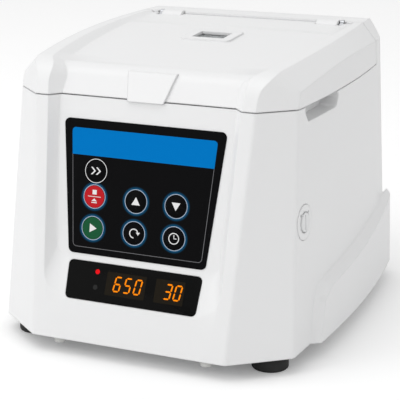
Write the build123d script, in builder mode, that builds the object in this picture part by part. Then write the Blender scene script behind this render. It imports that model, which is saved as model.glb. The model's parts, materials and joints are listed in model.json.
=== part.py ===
from build123d import *
import os
from math import atan2, cos, radians, sin

# Bench microcentrifuge with a hinged lid, a fixed angle rotor for twelve small tubes,
# a lid lock and a leaning control panel. Millimetres, +Z up. The origin lies on the bench
# under the middle of the instrument, and -Y is the front, where the control panel is.

# Overall form
body_depth = 310.0          # front edge of the casing to the back of its skirt
shell_bottom = 14.0         # height of the casing's lower edge above the bench
seam_height = 208.0         # top edge of the casing, where the lid begins
seam_gap = 0.8              # dark joint line between casing and lid
wall = 3.0                  # moulded wall thickness
edge_round = 5.0            # softening of the casing's upright edges

# Casing outline, half widths and distances back from the front edge
nose_half_low = 85.2
nose_half_high = 95.3
nose_back_high = 35.4
corner_half_low = 130.0
corner_back_low = 35.2
corner_half_high = 121.6
corner_back_high = 59.6
waist_half_low = 135.8
waist_half_high = 127.0
waist_back = 160.0
tail_half_low = 131.5
tail_half_high = 120.5
tail_back = 301.0
tail_round = 12.0

# Flared skirt round the lower back of the casing
skirt_root_half = 128.0     # upright plane in which the skirt's side view is drawn
skirt_front_foot = 66.0
skirt_knee_back = 80.5
skirt_knee_height = 62.2
skirt_tail_height = 83.0
skirt_knee_round = 14.0
skirt_slope = 31.4          # degrees that its ledge falls outwards
skirt_half_front = 139.5
skirt_half_waist = 144.2
skirt_half_tail = 134.6
skirt_waist_back = 150.0
skirt_crown = 100.0
skirt_rear_height = 79.0

# Sunk panel on the front
panel_depth = 8.0
panel_side_slope = 0.85     # half width lost for each millimetre of depth
panel_half_high = 83.4
panel_half_low = 77.1
panel_foot = 47.0           # height of its lower edge
panel_fold = 80.0           # height where the upright floor turns into the lower ramp
panel_round = 22.0
panel_floor_round = 10.0

# Lid and rear tower, drawn as side views
lid_split_back = 271.0      # the lid ends here and the casing's tower begins
lid_split_gap = 0.8
rib_corner_back = 44.8
rib_corner_height = 235.0
rib_front_round = 28.0
rib_mid_back = 170.0
rib_mid_height = 243.3
rib_tail_height = 245.0
floor_foot_back = 44.0
floor_corner_back = 58.5
floor_corner_height = 230.7
floor_round = 18.0
floor_mid_back = 150.0
floor_mid_height = 237.8
floor_tail_height = 243.2
crown_top = 290.0           # above everything on the lid
crown_reach = 340.0
clear = 60.0                # how far cutting shapes reach past the faces they cut
slant = 1.4                 # a skin measured along a face that falls at about 45 degrees

# Side faces of the crown run between two side views, one near the rib, one outside
flank_inner_half = 92.0
flank_inner_foot = 32.5
flank_inner_corner = (43.5, 246.0)
flank_inner_mid = (184.0, 263.8)
flank_inner_tail = (300.0, 266.0)
flank_inner_round = 20.0
flank_outer_half = 132.0
flank_outer_foot = 69.1
flank_outer_corner = (71.4, 212.2)
flank_outer_mid = (184.0, 225.9)
flank_outer_tail = (300.0, 211.0)
flank_outer_round = 4.0

# Inner slopes of the ribs run between two more side views
slope_inner_half = 70.0
slope_inner_foot = 51.0
slope_inner_corner = (60.0, 222.4)
slope_inner_round = 8.0
slope_outer_half = 106.0
slope_outer_foot = 9.2
slope_outer_corner = (24.0, 246.4)
slope_outer_round = 25.0
slope_mid_back = 140.0
slope_mid_height = 245.4
slope_tail_height = 249.6
slope_fall = 24.0           # the inner side view lies this much lower

# Deck under the lid and the chamber
deck_top = 206.0
deck_thick = 3.5
rim_width = 5.0
tray_rear = 268.0
front_skin = 11.2           # front face to the inside of the casing, past the sunk panel
chamber_back = 178.0        # front edge to the rotor's axis
bowl_radius = 78.0
bowl_skin = 1.5
bowl_floor = 122.0
bowl_bend = 16.0
bowl_flange = 11.0
bowl_fit = 0.5
bowl_flange_thick = 1.2
bowl_drain_radius = 14.0
seal_inner = 78.5
seal_width = 6.0
seal_height = 3.8
flange_screws = 4
flange_screw_radius = 1.0
flange_screw_reach = 86.8
flange_screw_length = 8.0
flange_head_radius = 1.7
flange_head_height = 1.0
small_gap = 0.3             # between faces that only come close

# Motor on its rubber dampers
damper_radius = 9.0
damper_reach = 48.0
damper_height = 22.0
motor_plate_radius = 60.0
motor_plate_thick = 3.0
motor_radius = 38.0
motor_height = 66.0
motor_cap_radius = 30.0
motor_cap_height = 6.0
shaft_radius = 4.0
shaft_foot = 100.0
shaft_room = 0.3
stud_radius = 3.0
stud_height = 9.0
seal_bore = 5.2
seal_body_radius = 12.0
seal_lip_radius = 17.0
seal_lip_thick = 1.8

# Rotor for twelve tubes
rotor_base = 136.0
rotor_radius = 66.0
rotor_height = 46.0
rotor_chamfer = 12.0
rotor_hub_radius = 12.0
rotor_hub_height = 36.0
rotor_valley = 20.0
rotor_floor = 21.0
rotor_lean = 45.0
tube_count = 12
tube_radius = 5.55
tube_reach = 33.0           # rotor axis to the middle of a bore's mouth
tube_rise = 34.0            # rotor base to the middle of a bore's mouth
tube_depth = 36.0
tube_mouth_radius = 6.3
tube_mouth_depth = 1.5
tube_mouth_reach = 8.0
rotor_round = 3.0
nut_radius = 10.0
nut_flange_radius = 11.5
nut_flange_thick = 2.0
nut_height = 17.0
nut_flutes = 10
nut_flute_radius = 1.4
nut_fit = 0.08

# Finger pockets under the lid's edge
pocket_front = 69.0
pocket_rear = 149.0
pocket_foot_front = 77.0
pocket_foot_rear = 139.0
pocket_floor = 196.0
pocket_inner_half = 112.0
pocket_round = 4.0

# Hinge
hinge_back = 273.0
hinge_height = 243.6
hinge_pin_radius = 1.5
hinge_fit = 0.05
knuckle_inner_half = 67.0
knuckle_outer_half = 87.0
knuckle_back = 271.2
knuckle_height = 237.0
knuckle_radius = 9.2
knuckle_gap = 0.6
notch_floor = 226.0         # the lid's rear wall is open above this, so it swings past the knuckle
arm_inner_half = 88.0
arm_thick = 3.5
arm_ring_radius = 2.6
arm_front = 225.0
arm_top = 237.6
arm_height = 5.5
arm_neck = 262.0
slot_room = 0.45
slot_low = 238.4
hinge_pin_end = 94.0

# Lid details
relief_half = 34.0
relief_rise = 2.6
relief_reach = 1.0
liner_height = 211.3
liner_thick = 2.5
tab_half_foot = 15.6
tab_half_head = 21.5
tab_foot_back = 41.0
tab_head_back = 55.8
tab_lip = 1.9
tab_drop = 0.7
tab_deep = 4.4
tab_head_height = 229.0
lid_boss_radius = 3.5
lid_screw_radius = 1.3
lid_screw_length = 12.0
lid_head_radius = 2.6
lid_head_height = 1.2
lid_boss_places = [(92.0, 84.0), (76.0, 240.0), (40.0, 76.0)]
window_back = 161.0
window_half = 23.0
window_reach = 39.0
window_hole_half = 14.5
window_hole_reach = 23.0
window_proud = 1.4
window_round = 5.0
window_frame_low = 228.0
window_block = 5.2          # lid surface down to the underside of the window's frame
pane_drop = 1.6             # lid surface down to the pane
pane_thick = 1.5
pane_margin = 1.5
pane_fit = 0.1
liner_fit = 0.4
fin_thick = 2.0
fin_gap = 0.2
plunger_back = 86.0
well_wall = 1.3

# Lid lock
striker_back = 66.0
striker_height = 197.0
striker_radius = 2.0
striker_half = 10.4
striker_leg_half = 8.4
striker_leg_radius = 1.7
striker_plate_half = 14.0
striker_plate_reach = 12.0
striker_plate_thick = 1.5
lock_slot_half = 14.0
lock_slot_front = 58.0
lock_slot_rear = 83.0
hook_pivot_back = 74.0
hook_pivot_height = 168.0
hook_pivot_radius = 2.0
hook_half = 1.5
hook_hub_radius = 4.6
hook_throw = 15.0           # degrees between released and locked
hook_tip_back = 63.5
hook_under = 199.4
hook_top = 203.0
hook_front_back = 69.5
hook_rear_back = 75.6
hook_tail = 12.0            # pivot to the plunger's pin
hook_tail_half = 2.6
hook_tail_end = 14.6
fork_pin_radius = 1.2
fork_slot_radius = 1.5
fork_slot_reach = 0.5
fork_inner_half = 1.9
fork_outer_half = 3.6
fork_reach = 3.2
fork_floor = 159.5
fork_top = 168.2
plunger_radius = 3.0
plunger_foot = 128.0
solenoid_half = 10.0
solenoid_low = 118.0
solenoid_high = 148.0
solenoid_reach = 10.0
bracket_half = 15.0
bracket_thick = 1.5
bracket_front = 60.0
bracket_rear = 92.0
bracket_flange = 9.0
switch_body_half = 3.2
switch_body_across = 11.2
switch_body_front = 58.0
switch_body_rear = 78.0
switch_body_low = 180.0
switch_body_high = 191.0
switch_button_radius = 1.0
switch_button_high = 194.4

# Base, feet and rear panel
plate_thick = 2.5
plate_fit = 0.4
plate_lift = 0.6            # the plate lies this much above the casing's lower edge
plate_gap = 0.05
foot_half = 106.8
foot_front_back = 45.0
foot_rear_back = 262.0
foot_radius = 15.0
bumper_half = 65.5
bumper_back = 11.0
bumper_radius = 5.0
bumper_height = 7.0
rear_panel_half = 90.0
rear_panel_low = 28.0
rear_panel_high = 152.0
rear_panel_thick = 1.6
rear_window_margin = 6.0
rear_panel_fit = 0.3
rear_screw_radius = 1.3
rear_screw_inset = 3.0
rear_screw_length = 7.0
rear_boss_length = 6.0
rear_boss_radius = 3.0
rear_head_radius = 2.2
rear_head_height = 1.4
vent_half = 1.4
vent_length = 34.0
vent_pitch = 6.0
vent_count = 11
vent_height = 118.0
inlet_across = 48.0
inlet_height = 60.0
inlet_flange_half = 25.0
inlet_flange_half_high = 15.0
inlet_flange_thick = 2.0
inlet_body_margin = 2.4
inlet_deep = 26.0
socket_across = 40.0
socket_half = 12.3
socket_half_high = 8.4
socket_corner = 4.0
socket_deep = 16.0
blade_half = 1.0
blade_half_high = 2.0
blade_length = 13.0
blade_pitch = 7.0
blade_rise = 2.0
fuse_across = 62.0
fuse_half = 6.5
fuse_half_high = 9.0
fuse_deep = 20.0
fuse_fit = 0.3
fuse_face_thick = 1.5
fuse_grip_half = 4.0
power_across = -56.0
power_half = 11.0
power_half_high = 14.0
power_frame_thick = 1.8
power_frame_width = 2.6
power_deep = 16.0
power_pivot_deep = 9.0
rocker_fit = 0.4
rocker_half_high = 9.2
rocker_proud = 1.6
rocker_swing = 14.0
rocker_deep = 5.0
post_radius = 5.0
post_half = 108.0
post_front_back = 66.0
post_rear_back = 284.0
base_screw_radius = 1.5
base_screw_length = 14.0
screw_head_radius = 3.2
screw_head_height = 2.0

# Control panel
overlay_thick = 0.5
overlay_half_high = 71.0
overlay_half_low = 60.5
overlay_high = 190.3
overlay_low = 82.8
overlay_round_high = 2.5
overlay_round_low = 4.5
key_radius = 9.1
key_fit = 0.25
key_proud = 0.2
key_flange = 0.6
key_stem_radius = 5.0
key_column_left = -40.0
key_column_middle = -3.0
key_column_right = 32.0
key_row_high = 150.0
key_row_middle = 129.5
key_row_low = 104.2
key_stem_end = 14.2         # depth behind the front face, like the ones below
key_board_depth = 17.0
key_board_half = 60.0
key_board_low = 92.0
key_board_high = 182.0
key_flange_depth = 11.2
key_switch_radius = 3.0
key_switch_height = 2.2
board_post_radius = 3.0
board_post_half = 55.0
board_post_inset = 5.0
board_thick = 1.6
strip_half_high = 59.0
strip_half_low = 57.5
strip_margin = 1.5
strip_round = 4.0
strip_thick = 1.4
strip_proud = 0.4
strip_fit = 0.15
speed_window = (-25.0, 10.3)
time_window = (19.9, 44.6)
digit_window_low = 8.0      # up the ramp from its lower edge
digit_window_high = 27.0
digit_fit = 0.2
lamp_across = -32.0
lamp_row_low = 12.9
lamp_row_high = 25.6
lamp_radius = 2.0
display_board_depth = 12.6
display_board_half = 52.0
display_board_low = 2.0
display_board_high = 31.0

# Way to the emergency release in the right wall
plug_back = 64.0
plug_height = 118.0
plug_across = 126.9
plug_turn = 0.085           # how far the wall there faces forwards, as a slope
plug_tilt = 0.044           # and upwards
plug_radius = 7.6
plug_fit = 0.3
plug_gap = 1.1              # open ring round the plug, in which fingernails reach it
plug_proud = 1.0
plug_length = 8.0
plug_notch_half = 1.0
plug_notch_reach = 2.2
plug_notch_turn = 45.0      # degrees either side of the ring's rear point
plug_slot_half = 0.6
plug_slot_deep = 1.0
ring_radius = 14.2
ring_deep = 1.2
ring_proud = 0.3
plug_boss_deep = 6.0
plug_boss_radius = 16.0

# Boards and power parts on the base plate
standoff_radius = 3.0
standoff_height = 7.0
main_board_inner = 66.0
main_board_outer = 106.0
main_board_front = 85.0
main_board_rear = 250.0
standoff_inset = 5.0
capacitor_radius = 9.0
capacitor_height = 30.0
capacitor_count = 3
capacitor_pitch = 21.0
capacitor_front = 102.0
capacitor_across = -90.0
sink_inner = 74.0
sink_outer = 100.0
sink_front = 175.0
sink_length = 50.0
sink_height = 32.0
sink_base = 5.0
sink_fin = 1.6
sink_fins = 6
transformer_inner = 68.0
transformer_outer = 110.0
transformer_front = 120.0
transformer_length = 56.0
transformer_height = 46.0
coil_margin = 7.0
coil_reach = 8.0
tower_hollow_half = 70.0
tower_hollow_front = 276.5
tower_hollow_rear = 296.0
tower_hollow_low = 190.0
tower_hollow_high = 238.0

front = -body_depth / 2
os.makedirs("parts", exist_ok=True)


def level(height):
    """Horizontal sketch plane whose Y counts back from the casing's front edge."""
    return Plane(origin=(0, front, height))


def upright(across):
    """Fore and aft sketch plane: its X counts back from the front edge, its Y is height."""
    return Plane(origin=(across, front, 0), x_dir=(0, 1, 0), z_dir=(1, 0, 0))


def at_height(low, high, height):
    """Value on the straight line between the casing's bottom and its seam."""
    share = (height - shell_bottom) / (seam_height - shell_bottom)
    return low + (high - low) * share


def casing_outline(height, inset=0.0, front_cut=0.0):
    """Plan view of the casing at one height, drawn inwards by a wall if asked."""
    nose_half = at_height(nose_half_low, nose_half_high, height)
    nose_back = at_height(0, nose_back_high, height)
    corner_half = at_height(corner_half_low, corner_half_high, height)
    corner_back = at_height(corner_back_low, corner_back_high, height)
    waist_half = at_height(waist_half_low, waist_half_high, height)
    tail_half = at_height(tail_half_low, tail_half_high, height)
    with BuildSketch(level(height)) as outline:
        with BuildLine():
            Polyline(
                (-corner_half, corner_back),
                (-nose_half, nose_back),
                (nose_half, nose_back),
                (corner_half, corner_back),
            )
            ThreePointArc((corner_half, corner_back), (waist_half, waist_back), (tail_half, tail_back))
            Line((tail_half, tail_back), (-tail_half, tail_back))
            ThreePointArc((-tail_half, tail_back), (-waist_half, waist_back), (-corner_half, corner_back))
        make_face()
        fillet(outline.vertices().filter_by_position(Axis.Y, -1, tail_back - 1), radius=edge_round)
        fillet(outline.vertices().group_by(Axis.Y)[-1], radius=tail_round)
        if inset:
            offset(amount=-inset)
        if front_cut:
            with Locations((0, nose_back + front_cut)):
                Rectangle(2 * corner_half_low, 2 * body_depth, align=(Align.CENTER, Align.MAX), mode=Mode.SUBTRACT)
    return outline.sketch


def slab(inner, outer, near, far, low, high):
    """Box between two widths, two distances back from the front edge and two heights."""
    with BuildPart() as box:
        with BuildSketch(level(low)):
            with Locations((inner, near)):
                Rectangle(outer - inner, far - near, align=(Align.MIN, Align.MIN))
        extrude(amount=high - low)
    return box.part


def pillar(across, back, low, high, radius):
    """Upright round bar between two heights."""
    with BuildPart() as bar:
        with BuildSketch(level(low)):
            with Locations((across, back)):
                Circle(radius)
        extrude(amount=high - low)
    return bar.part


def crossbar(inner, outer, back, height, radius):
    """Round bar across the instrument between two widths."""
    with BuildPart() as bar:
        with BuildSketch(upright(inner)):
            with Locations((back, height)):
                Circle(radius)
        extrude(amount=outer - inner)
    return bar.part


def both_sides(piece):
    """The piece and its mirror image on the other side."""
    with BuildPart() as pair:
        add(piece)
        mirror(about=Plane.YZ)
    return pair.part


def keep(piece, name):
    """Write one finished piece to its file."""
    piece.label = name
    export_step(piece, f"parts/{name}.step")


def up_front(height):
    """Distance up the leaning front face to a height above the bench."""
    return (height - shell_bottom) / cos(front_lean)


def up_floor(height):
    """Distance up the sunk panel's floor to a height above the bench."""
    return (height - shell_bottom + panel_depth * sin(front_lean)) / cos(front_lean)


def recess_outline(depth):
    """Edge of the sunk front panel at a depth behind the front face."""
    ramp = (panel_fold - panel_foot) / panel_depth
    foot = up_front(panel_foot + ramp * depth)
    crest = up_front(seam_height + 3 * panel_depth)
    widening = (panel_half_high - panel_half_low) / (up_front(seam_height) - up_front(panel_foot))
    half_foot = panel_half_low - panel_side_slope * depth + widening * (foot - up_front(panel_foot))
    half_crest = half_foot + widening * (crest - foot)
    rounding = panel_round + (panel_floor_round - panel_round) * depth / panel_depth
    with BuildSketch(front_face.offset(-depth)) as outline:
        with BuildLine():
            Polyline((-half_foot, foot), (half_foot, foot), (half_crest, crest), (-half_crest, crest), close=True)
        make_face()
        fillet(outline.vertices().group_by(Axis.Y)[0], radius=rounding)
    return outline.sketch


def side_view(across, foot_back, corner, mid, tail, rounding, skin=0.0):
    """Region above and in front of a side view line, which a skin thickness moves inwards."""
    foot = (foot_back + skin, seam_height - skin)
    knee = (corner[0] + skin, corner[1] - skin)
    rise = (mid[0], mid[1] - skin)
    end = (tail[0], tail[1] - skin)
    with BuildSketch(upright(across)) as region:
        with BuildLine():
            Polyline(
                end,
                (crown_reach, end[1]),
                (crown_reach, crown_top),
                (-clear, crown_top),
                (-clear, foot[1] - clear),
                (foot[0], foot[1] - clear),
                foot,
                knee,
            )
            ThreePointArc(knee, rise, end)
        make_face()
        fillet(region.vertices().sort_by_distance(knee)[0], radius=rounding)
    return region.sketch


def floor_view(skin):
    """Side view of the lid's dished middle."""
    return side_view(0, floor_foot_back, (floor_corner_back, floor_corner_height),
                     (floor_mid_back, floor_mid_height), (lid_split_back, floor_tail_height),
                     floor_round, skin)


def crown_form(skin=0.0):
    """Everything above the seam, lid and tower together, with its skin thickness left off."""
    flank_skin = skin * slant
    rib_view = side_view(0, nose_back_high, (rib_corner_back, rib_corner_height),
                         (rib_mid_back, rib_mid_height), (tail_back, rib_tail_height), rib_front_round, skin)
    flank_views = [
        side_view(flank_inner_half, flank_inner_foot, flank_inner_corner, flank_inner_mid,
                  flank_inner_tail, flank_inner_round, flank_skin),
        side_view(flank_outer_half, flank_outer_foot, flank_outer_corner, flank_outer_mid,
                  flank_outer_tail, flank_outer_round, flank_skin),
    ]
    slope_views = [
        side_view(slope_inner_half, slope_inner_foot, slope_inner_corner,
                  (slope_mid_back, slope_mid_height - slope_fall),
                  (tail_back, slope_tail_height - slope_fall), slope_inner_round, flank_skin),
        side_view(slope_outer_half, slope_outer_foot, slope_outer_corner,
                  (slope_mid_back, slope_mid_height),
                  (tail_back, slope_tail_height), slope_outer_round, flank_skin),
    ]
    with BuildPart() as hollow:
        loft(slope_views, ruled=True)
        mirror(about=Plane.YZ)
        extrude(slope_views[0], amount=-2 * slope_inner_half)
        extrude(floor_view(skin), amount=slope_outer_half, both=True, mode=Mode.INTERSECT)
    with BuildPart() as form:
        loft([casing_outline(seam_height, skin), casing_outline(crown_top, skin)], ruled=True)
        extrude(rib_view, amount=corner_half_low, both=True, mode=Mode.SUBTRACT)
        flank = loft(flank_views, ruled=True, mode=Mode.PRIVATE)
        add(flank, mode=Mode.SUBTRACT)
        add(flank.mirror(Plane.YZ), mode=Mode.SUBTRACT)
        with BuildSketch(upright(0)) as lid_side:
            with Locations((0, seam_height)):
                Rectangle(lid_split_back, crown_top, align=(Align.MIN, Align.CENTER))
        lid_hollow = hollow.part & extrude(lid_side.sketch, amount=corner_half_low, both=True, mode=Mode.PRIVATE)
        add(lid_hollow, mode=Mode.SUBTRACT)
    return form.part


front_lean = atan2(nose_back_high, seam_height - shell_bottom)
front_face = Plane(origin=(0, front, shell_bottom), x_dir=(1, 0, 0), z_dir=(0, -cos(front_lean), sin(front_lean)))

# Casing
crown = crown_form()
crown_inside = crown_form(wall)
cavity_top = deck_top - deck_thick

with BuildPart() as skirt_sides:
    with BuildSketch(upright(skirt_root_half)):
        with BuildLine():
            Polyline(
                (skirt_front_foot - clear * 0.3, shell_bottom - clear),
                (skirt_front_foot, shell_bottom),
                (skirt_knee_back, skirt_knee_height),
                (body_depth + clear, skirt_tail_height + 0.09 * clear),
                (body_depth + clear, shell_bottom - clear),
                close=True,
            )
        make_face()
        fillet(vertices().sort_by_distance((skirt_knee_back, skirt_knee_height))[0], radius=skirt_knee_round)
    extrude(amount=clear / 2, taper=skirt_slope)
    mirror(about=Plane.YZ)
    with BuildSketch(level(skirt_rear_height)):
        with Locations((0, skirt_knee_back)):
            Rectangle(2 * skirt_root_half, 2 * body_depth, align=(Align.CENTER, Align.MIN))
    extrude(amount=-skirt_rear_height)

with BuildPart() as skirt:
    with BuildSketch(level(shell_bottom)):
        with BuildLine():
            Line((-skirt_half_front, skirt_front_foot), (skirt_half_front, skirt_front_foot))
            ThreePointArc((skirt_half_front, skirt_front_foot), (skirt_half_waist, skirt_waist_back),
                          (skirt_half_tail, body_depth))
            Line((skirt_half_tail, body_depth), (-skirt_half_tail, body_depth))
            ThreePointArc((-skirt_half_tail, body_depth), (-skirt_half_waist, skirt_waist_back),
                          (-skirt_half_front, skirt_front_foot))
        make_face()
        fillet(vertices().group_by(Axis.Y)[-1], radius=tail_round)
    extrude(amount=skirt_crown - shell_bottom, taper=2)
    add(skirt_sides.part, mode=Mode.INTERSECT)

# Shapes that the casing and its neighbours share
tower_face = lid_split_back + lid_split_gap / 2
lid_end = lid_split_back - lid_split_gap / 2
lid_low = seam_height + seam_gap
shelf_inner = rear_panel_half - rear_window_margin
shelf_low = rear_panel_low + rear_window_margin
shelf_high = rear_panel_high - rear_window_margin
panel_face_back = tail_back - rear_panel_thick
post_places = [
    (post_half, post_front_back),
    (post_half, post_rear_back),
]
rear_screw_places = [
    (rear_panel_half - rear_screw_inset, rear_panel_low + rear_screw_inset),
    (rear_panel_half - rear_screw_inset, rear_panel_high - rear_screw_inset),
]
key_places = {
    "key_lid": (key_column_left, key_row_high),
    "key_stop": (key_column_left, key_row_middle),
    "key_up": (key_column_middle, key_row_middle),
    "key_down": (key_column_right, key_row_middle),
    "key_start": (key_column_left, key_row_low),
    "key_short": (key_column_middle, key_row_low),
    "key_time": (key_column_right, key_row_low),
}
ramp_foot = front_face.from_local_coords((0, up_front(panel_foot), 0))
ramp_head = front_face.from_local_coords((0, up_front(panel_fold), -panel_depth))
ramp_run = ramp_head - ramp_foot
ramp_length = ramp_run.length
ramp_face = Plane(origin=ramp_foot, x_dir=(1, 0, 0), z_dir=(0, -ramp_run.Z, ramp_run.Y))
plug_face = Plane(origin=(plug_across, front + plug_back, plug_height), z_dir=(1, -plug_turn, plug_tilt))


def panel_disc(across, height, deep, shallow, radius):
    """Round bar square to the sunk panel, between two depths behind the front face."""
    with BuildPart() as disc:
        with BuildSketch(front_face.offset(-deep)):
            with Locations((across, up_floor(height))):
                Circle(radius)
        extrude(amount=deep - shallow)
    return disc.part


def ramp_block(span, low, high, deep, shallow, grow=0.0):
    """Box square to the display ramp, between two depths behind it."""
    with BuildPart() as box:
        with BuildSketch(ramp_face.offset(-deep)):
            with Locations((span[0] - grow, low - grow)):
                Rectangle(span[1] - span[0] + 2 * grow, high - low + 2 * grow, align=(Align.MIN, Align.MIN))
        extrude(amount=deep - shallow)
    return box.part


def ramp_disc(row, deep, shallow, radius):
    """Round bar square to the display ramp, for a lamp."""
    with BuildPart() as disc:
        with BuildSketch(ramp_face.offset(-deep)):
            with Locations((lamp_across, row)):
                Circle(radius)
        extrude(amount=deep - shallow)
    return disc.part


def strip_block(deep, shallow, grow=0.0):
    """Display strip's outline on the ramp, between two depths."""
    with BuildPart() as strip:
        with BuildSketch(ramp_face.offset(-deep)):
            with BuildLine():
                Polyline(
                    (-strip_half_low - grow, strip_margin - grow),
                    (strip_half_low + grow, strip_margin - grow),
                    (strip_half_high + grow, ramp_length - strip_margin + grow),
                    (-strip_half_high - grow, ramp_length - strip_margin + grow),
                    close=True,
                )
            make_face()
            fillet(vertices(), radius=strip_round)
        extrude(amount=deep - shallow)
    return strip.part


def plug_disc(deep, proud, radius, hole=0.0):
    """Round bar or ring square to the right wall at the emergency release."""
    with BuildPart() as disc:
        with BuildSketch(plug_face.offset(-deep)):
            Circle(radius)
            if hole:
                Circle(hole, mode=Mode.SUBTRACT)
        extrude(amount=deep + proud)
    return disc.part


def rear_block(across, half, height, half_high, near, far):
    """Box square to the rear panel, between two distances back from the front edge."""
    return slab(across - half, across + half, near, far, height - half_high, height + half_high)


def rear_bar(across, height, near, far, radius):
    """Round bar square to the rear panel."""
    with BuildPart() as bar:
        with BuildSketch(Plane(origin=(across, front + near, height), x_dir=(-1, 0, 0), z_dir=(0, 1, 0))):
            Circle(radius)
        extrude(amount=far - near)
    return bar.part


with BuildPart() as casing_form:
    loft([casing_outline(shell_bottom), casing_outline(seam_height)], ruled=True)

with BuildPart() as casing:
    add(casing_form.part)
    add(skirt.part)
    loft([recess_outline(-2.0), recess_outline(panel_depth)], ruled=True, mode=Mode.SUBTRACT)
    loft(
        [casing_outline(shell_bottom - clear / 10, wall, front_skin), casing_outline(cavity_top, wall, front_skin)],
        ruled=True,
        mode=Mode.SUBTRACT,
    )
    tray = loft(
        [casing_outline(deck_top, rim_width, front_skin), casing_outline(seam_height + 1, rim_width, front_skin)],
        ruled=True,
        mode=Mode.PRIVATE,
    )
    add(tray - slab(-corner_half_low, corner_half_low, tray_rear, body_depth, deck_thick, crown_top),
        mode=Mode.SUBTRACT)
    add(crown & slab(-corner_half_low, corner_half_low, tower_face, crown_reach, seam_height, crown_top))
    add(
        slab(-tower_hollow_half, tower_hollow_half, tower_hollow_front, tower_hollow_rear,
             tower_hollow_low, tower_hollow_high),
        mode=Mode.SUBTRACT,
    )
    # Hinge knuckles with the slots for the lid's arms beside them
    add(both_sides(crossbar(knuckle_inner_half, knuckle_outer_half, knuckle_back, knuckle_height, knuckle_radius)))
    add(
        both_sides(slab(arm_inner_half - small_gap, arm_inner_half + arm_thick + small_gap, lid_end,
                        hinge_back + arm_ring_radius + slot_room, slot_low,
                        crown_top)),
        mode=Mode.SUBTRACT,
    )
    add(
        both_sides(crossbar(knuckle_inner_half - 1, hinge_pin_end, hinge_back, hinge_height,
                            hinge_pin_radius + hinge_fit)),
        mode=Mode.SUBTRACT,
    )
    # Finger pockets
    pocket_block = slab(pocket_inner_half - wall, corner_half_low, pocket_front - wall, pocket_rear + wall,
                        pocket_floor - wall, deck_top)
    add(both_sides(pocket_block) & casing_form.part)
    with BuildSketch(upright(pocket_inner_half)) as pocket:
        with BuildLine():
            Polyline(
                (pocket_front, seam_height + 1),
                (pocket_foot_front, pocket_floor),
                (pocket_foot_rear, pocket_floor),
                (pocket_rear, seam_height + 1),
                close=True,
            )
        make_face()
        fillet(pocket.vertices().group_by(Axis.Z)[0], radius=pocket_round)
    pocket_cut = extrude(pocket.sketch, amount=clear / 2, mode=Mode.PRIVATE)
    add(pocket_cut, mode=Mode.SUBTRACT)
    add(pocket_cut.mirror(Plane.YZ), mode=Mode.SUBTRACT)
    # Chamber and lock openings in the deck
    add(pillar(0, chamber_back, cavity_top - 1, seam_height + 1, bowl_radius + bowl_skin + bowl_fit), mode=Mode.SUBTRACT)
    add(
        slab(-lock_slot_half, lock_slot_half, lock_slot_front, lock_slot_rear, cavity_top - 1, seam_height + 1),
        mode=Mode.SUBTRACT,
    )
    # Screw posts, bosses and board posts
    for place in post_places:
        add(both_sides(pillar(place[0], place[1], shell_bottom + plate_lift + plate_thick + plate_gap,
                              cavity_top + 1, post_radius)))
    for place in rear_screw_places:
        boss = rear_bar(place[0], place[1], tail_back - wall - rear_boss_length, tail_back - wall, rear_boss_radius)
        add(both_sides(boss))
    for height in (key_board_low + board_post_inset, key_board_high - board_post_inset):
        post = panel_disc(board_post_half, height, key_board_depth, panel_depth + wall / 2, board_post_radius)
        add(both_sides(post))
    add(plug_disc(plug_boss_deep, -wall / 2, plug_boss_radius))
    # Openings in the sunk panel and its ramp
    for place in key_places.values():
        add(panel_disc(place[0], place[1], key_board_depth, 0, key_radius + key_fit), mode=Mode.SUBTRACT)
    add(strip_block(strip_thick - strip_proud, -2.0, strip_fit), mode=Mode.SUBTRACT)
    add(ramp_block(speed_window, digit_window_low, digit_window_high, display_board_depth, 0, digit_fit),
        mode=Mode.SUBTRACT)
    add(ramp_block(time_window, digit_window_low, digit_window_high, display_board_depth, 0, digit_fit),
        mode=Mode.SUBTRACT)
    for row in (lamp_row_low, lamp_row_high):
        add(ramp_disc(row, display_board_depth, 0, lamp_radius + digit_fit), mode=Mode.SUBTRACT)
    # Rear opening with a shelf for the panel
    add(slab(-rear_panel_half, rear_panel_half, panel_face_back, body_depth + wall, rear_panel_low, rear_panel_high),
        mode=Mode.SUBTRACT)
    add(slab(-shelf_inner, shelf_inner, tail_back - 2 * wall, body_depth + wall, shelf_low, shelf_high),
        mode=Mode.SUBTRACT)
    for place in rear_screw_places:
        hole = rear_bar(place[0], place[1], tail_back - wall - rear_boss_length, tail_back, rear_screw_radius)
        add(both_sides(hole), mode=Mode.SUBTRACT)
    for place in post_places:
        hole = pillar(place[0], place[1], shell_bottom, shell_bottom + base_screw_length, base_screw_radius)
        add(both_sides(hole), mode=Mode.SUBTRACT)
    for turn in range(flange_screws):
        angle = 360 / flange_screws * (turn + 0.5)
        add(
            pillar(flange_screw_reach * cos(radians(angle)), chamber_back + flange_screw_reach * sin(radians(angle)),
                   cavity_top - 1, seam_height, flange_screw_radius + small_gap / 3),
            mode=Mode.SUBTRACT,
        )
    # Emergency release
    add(plug_disc(ring_deep, ring_deep + 1, ring_radius + plug_fit), mode=Mode.SUBTRACT)
    add(plug_disc(plug_boss_deep + wall, ring_deep, plug_radius + plug_fit), mode=Mode.SUBTRACT)
keep(casing.part, "casing")

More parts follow.
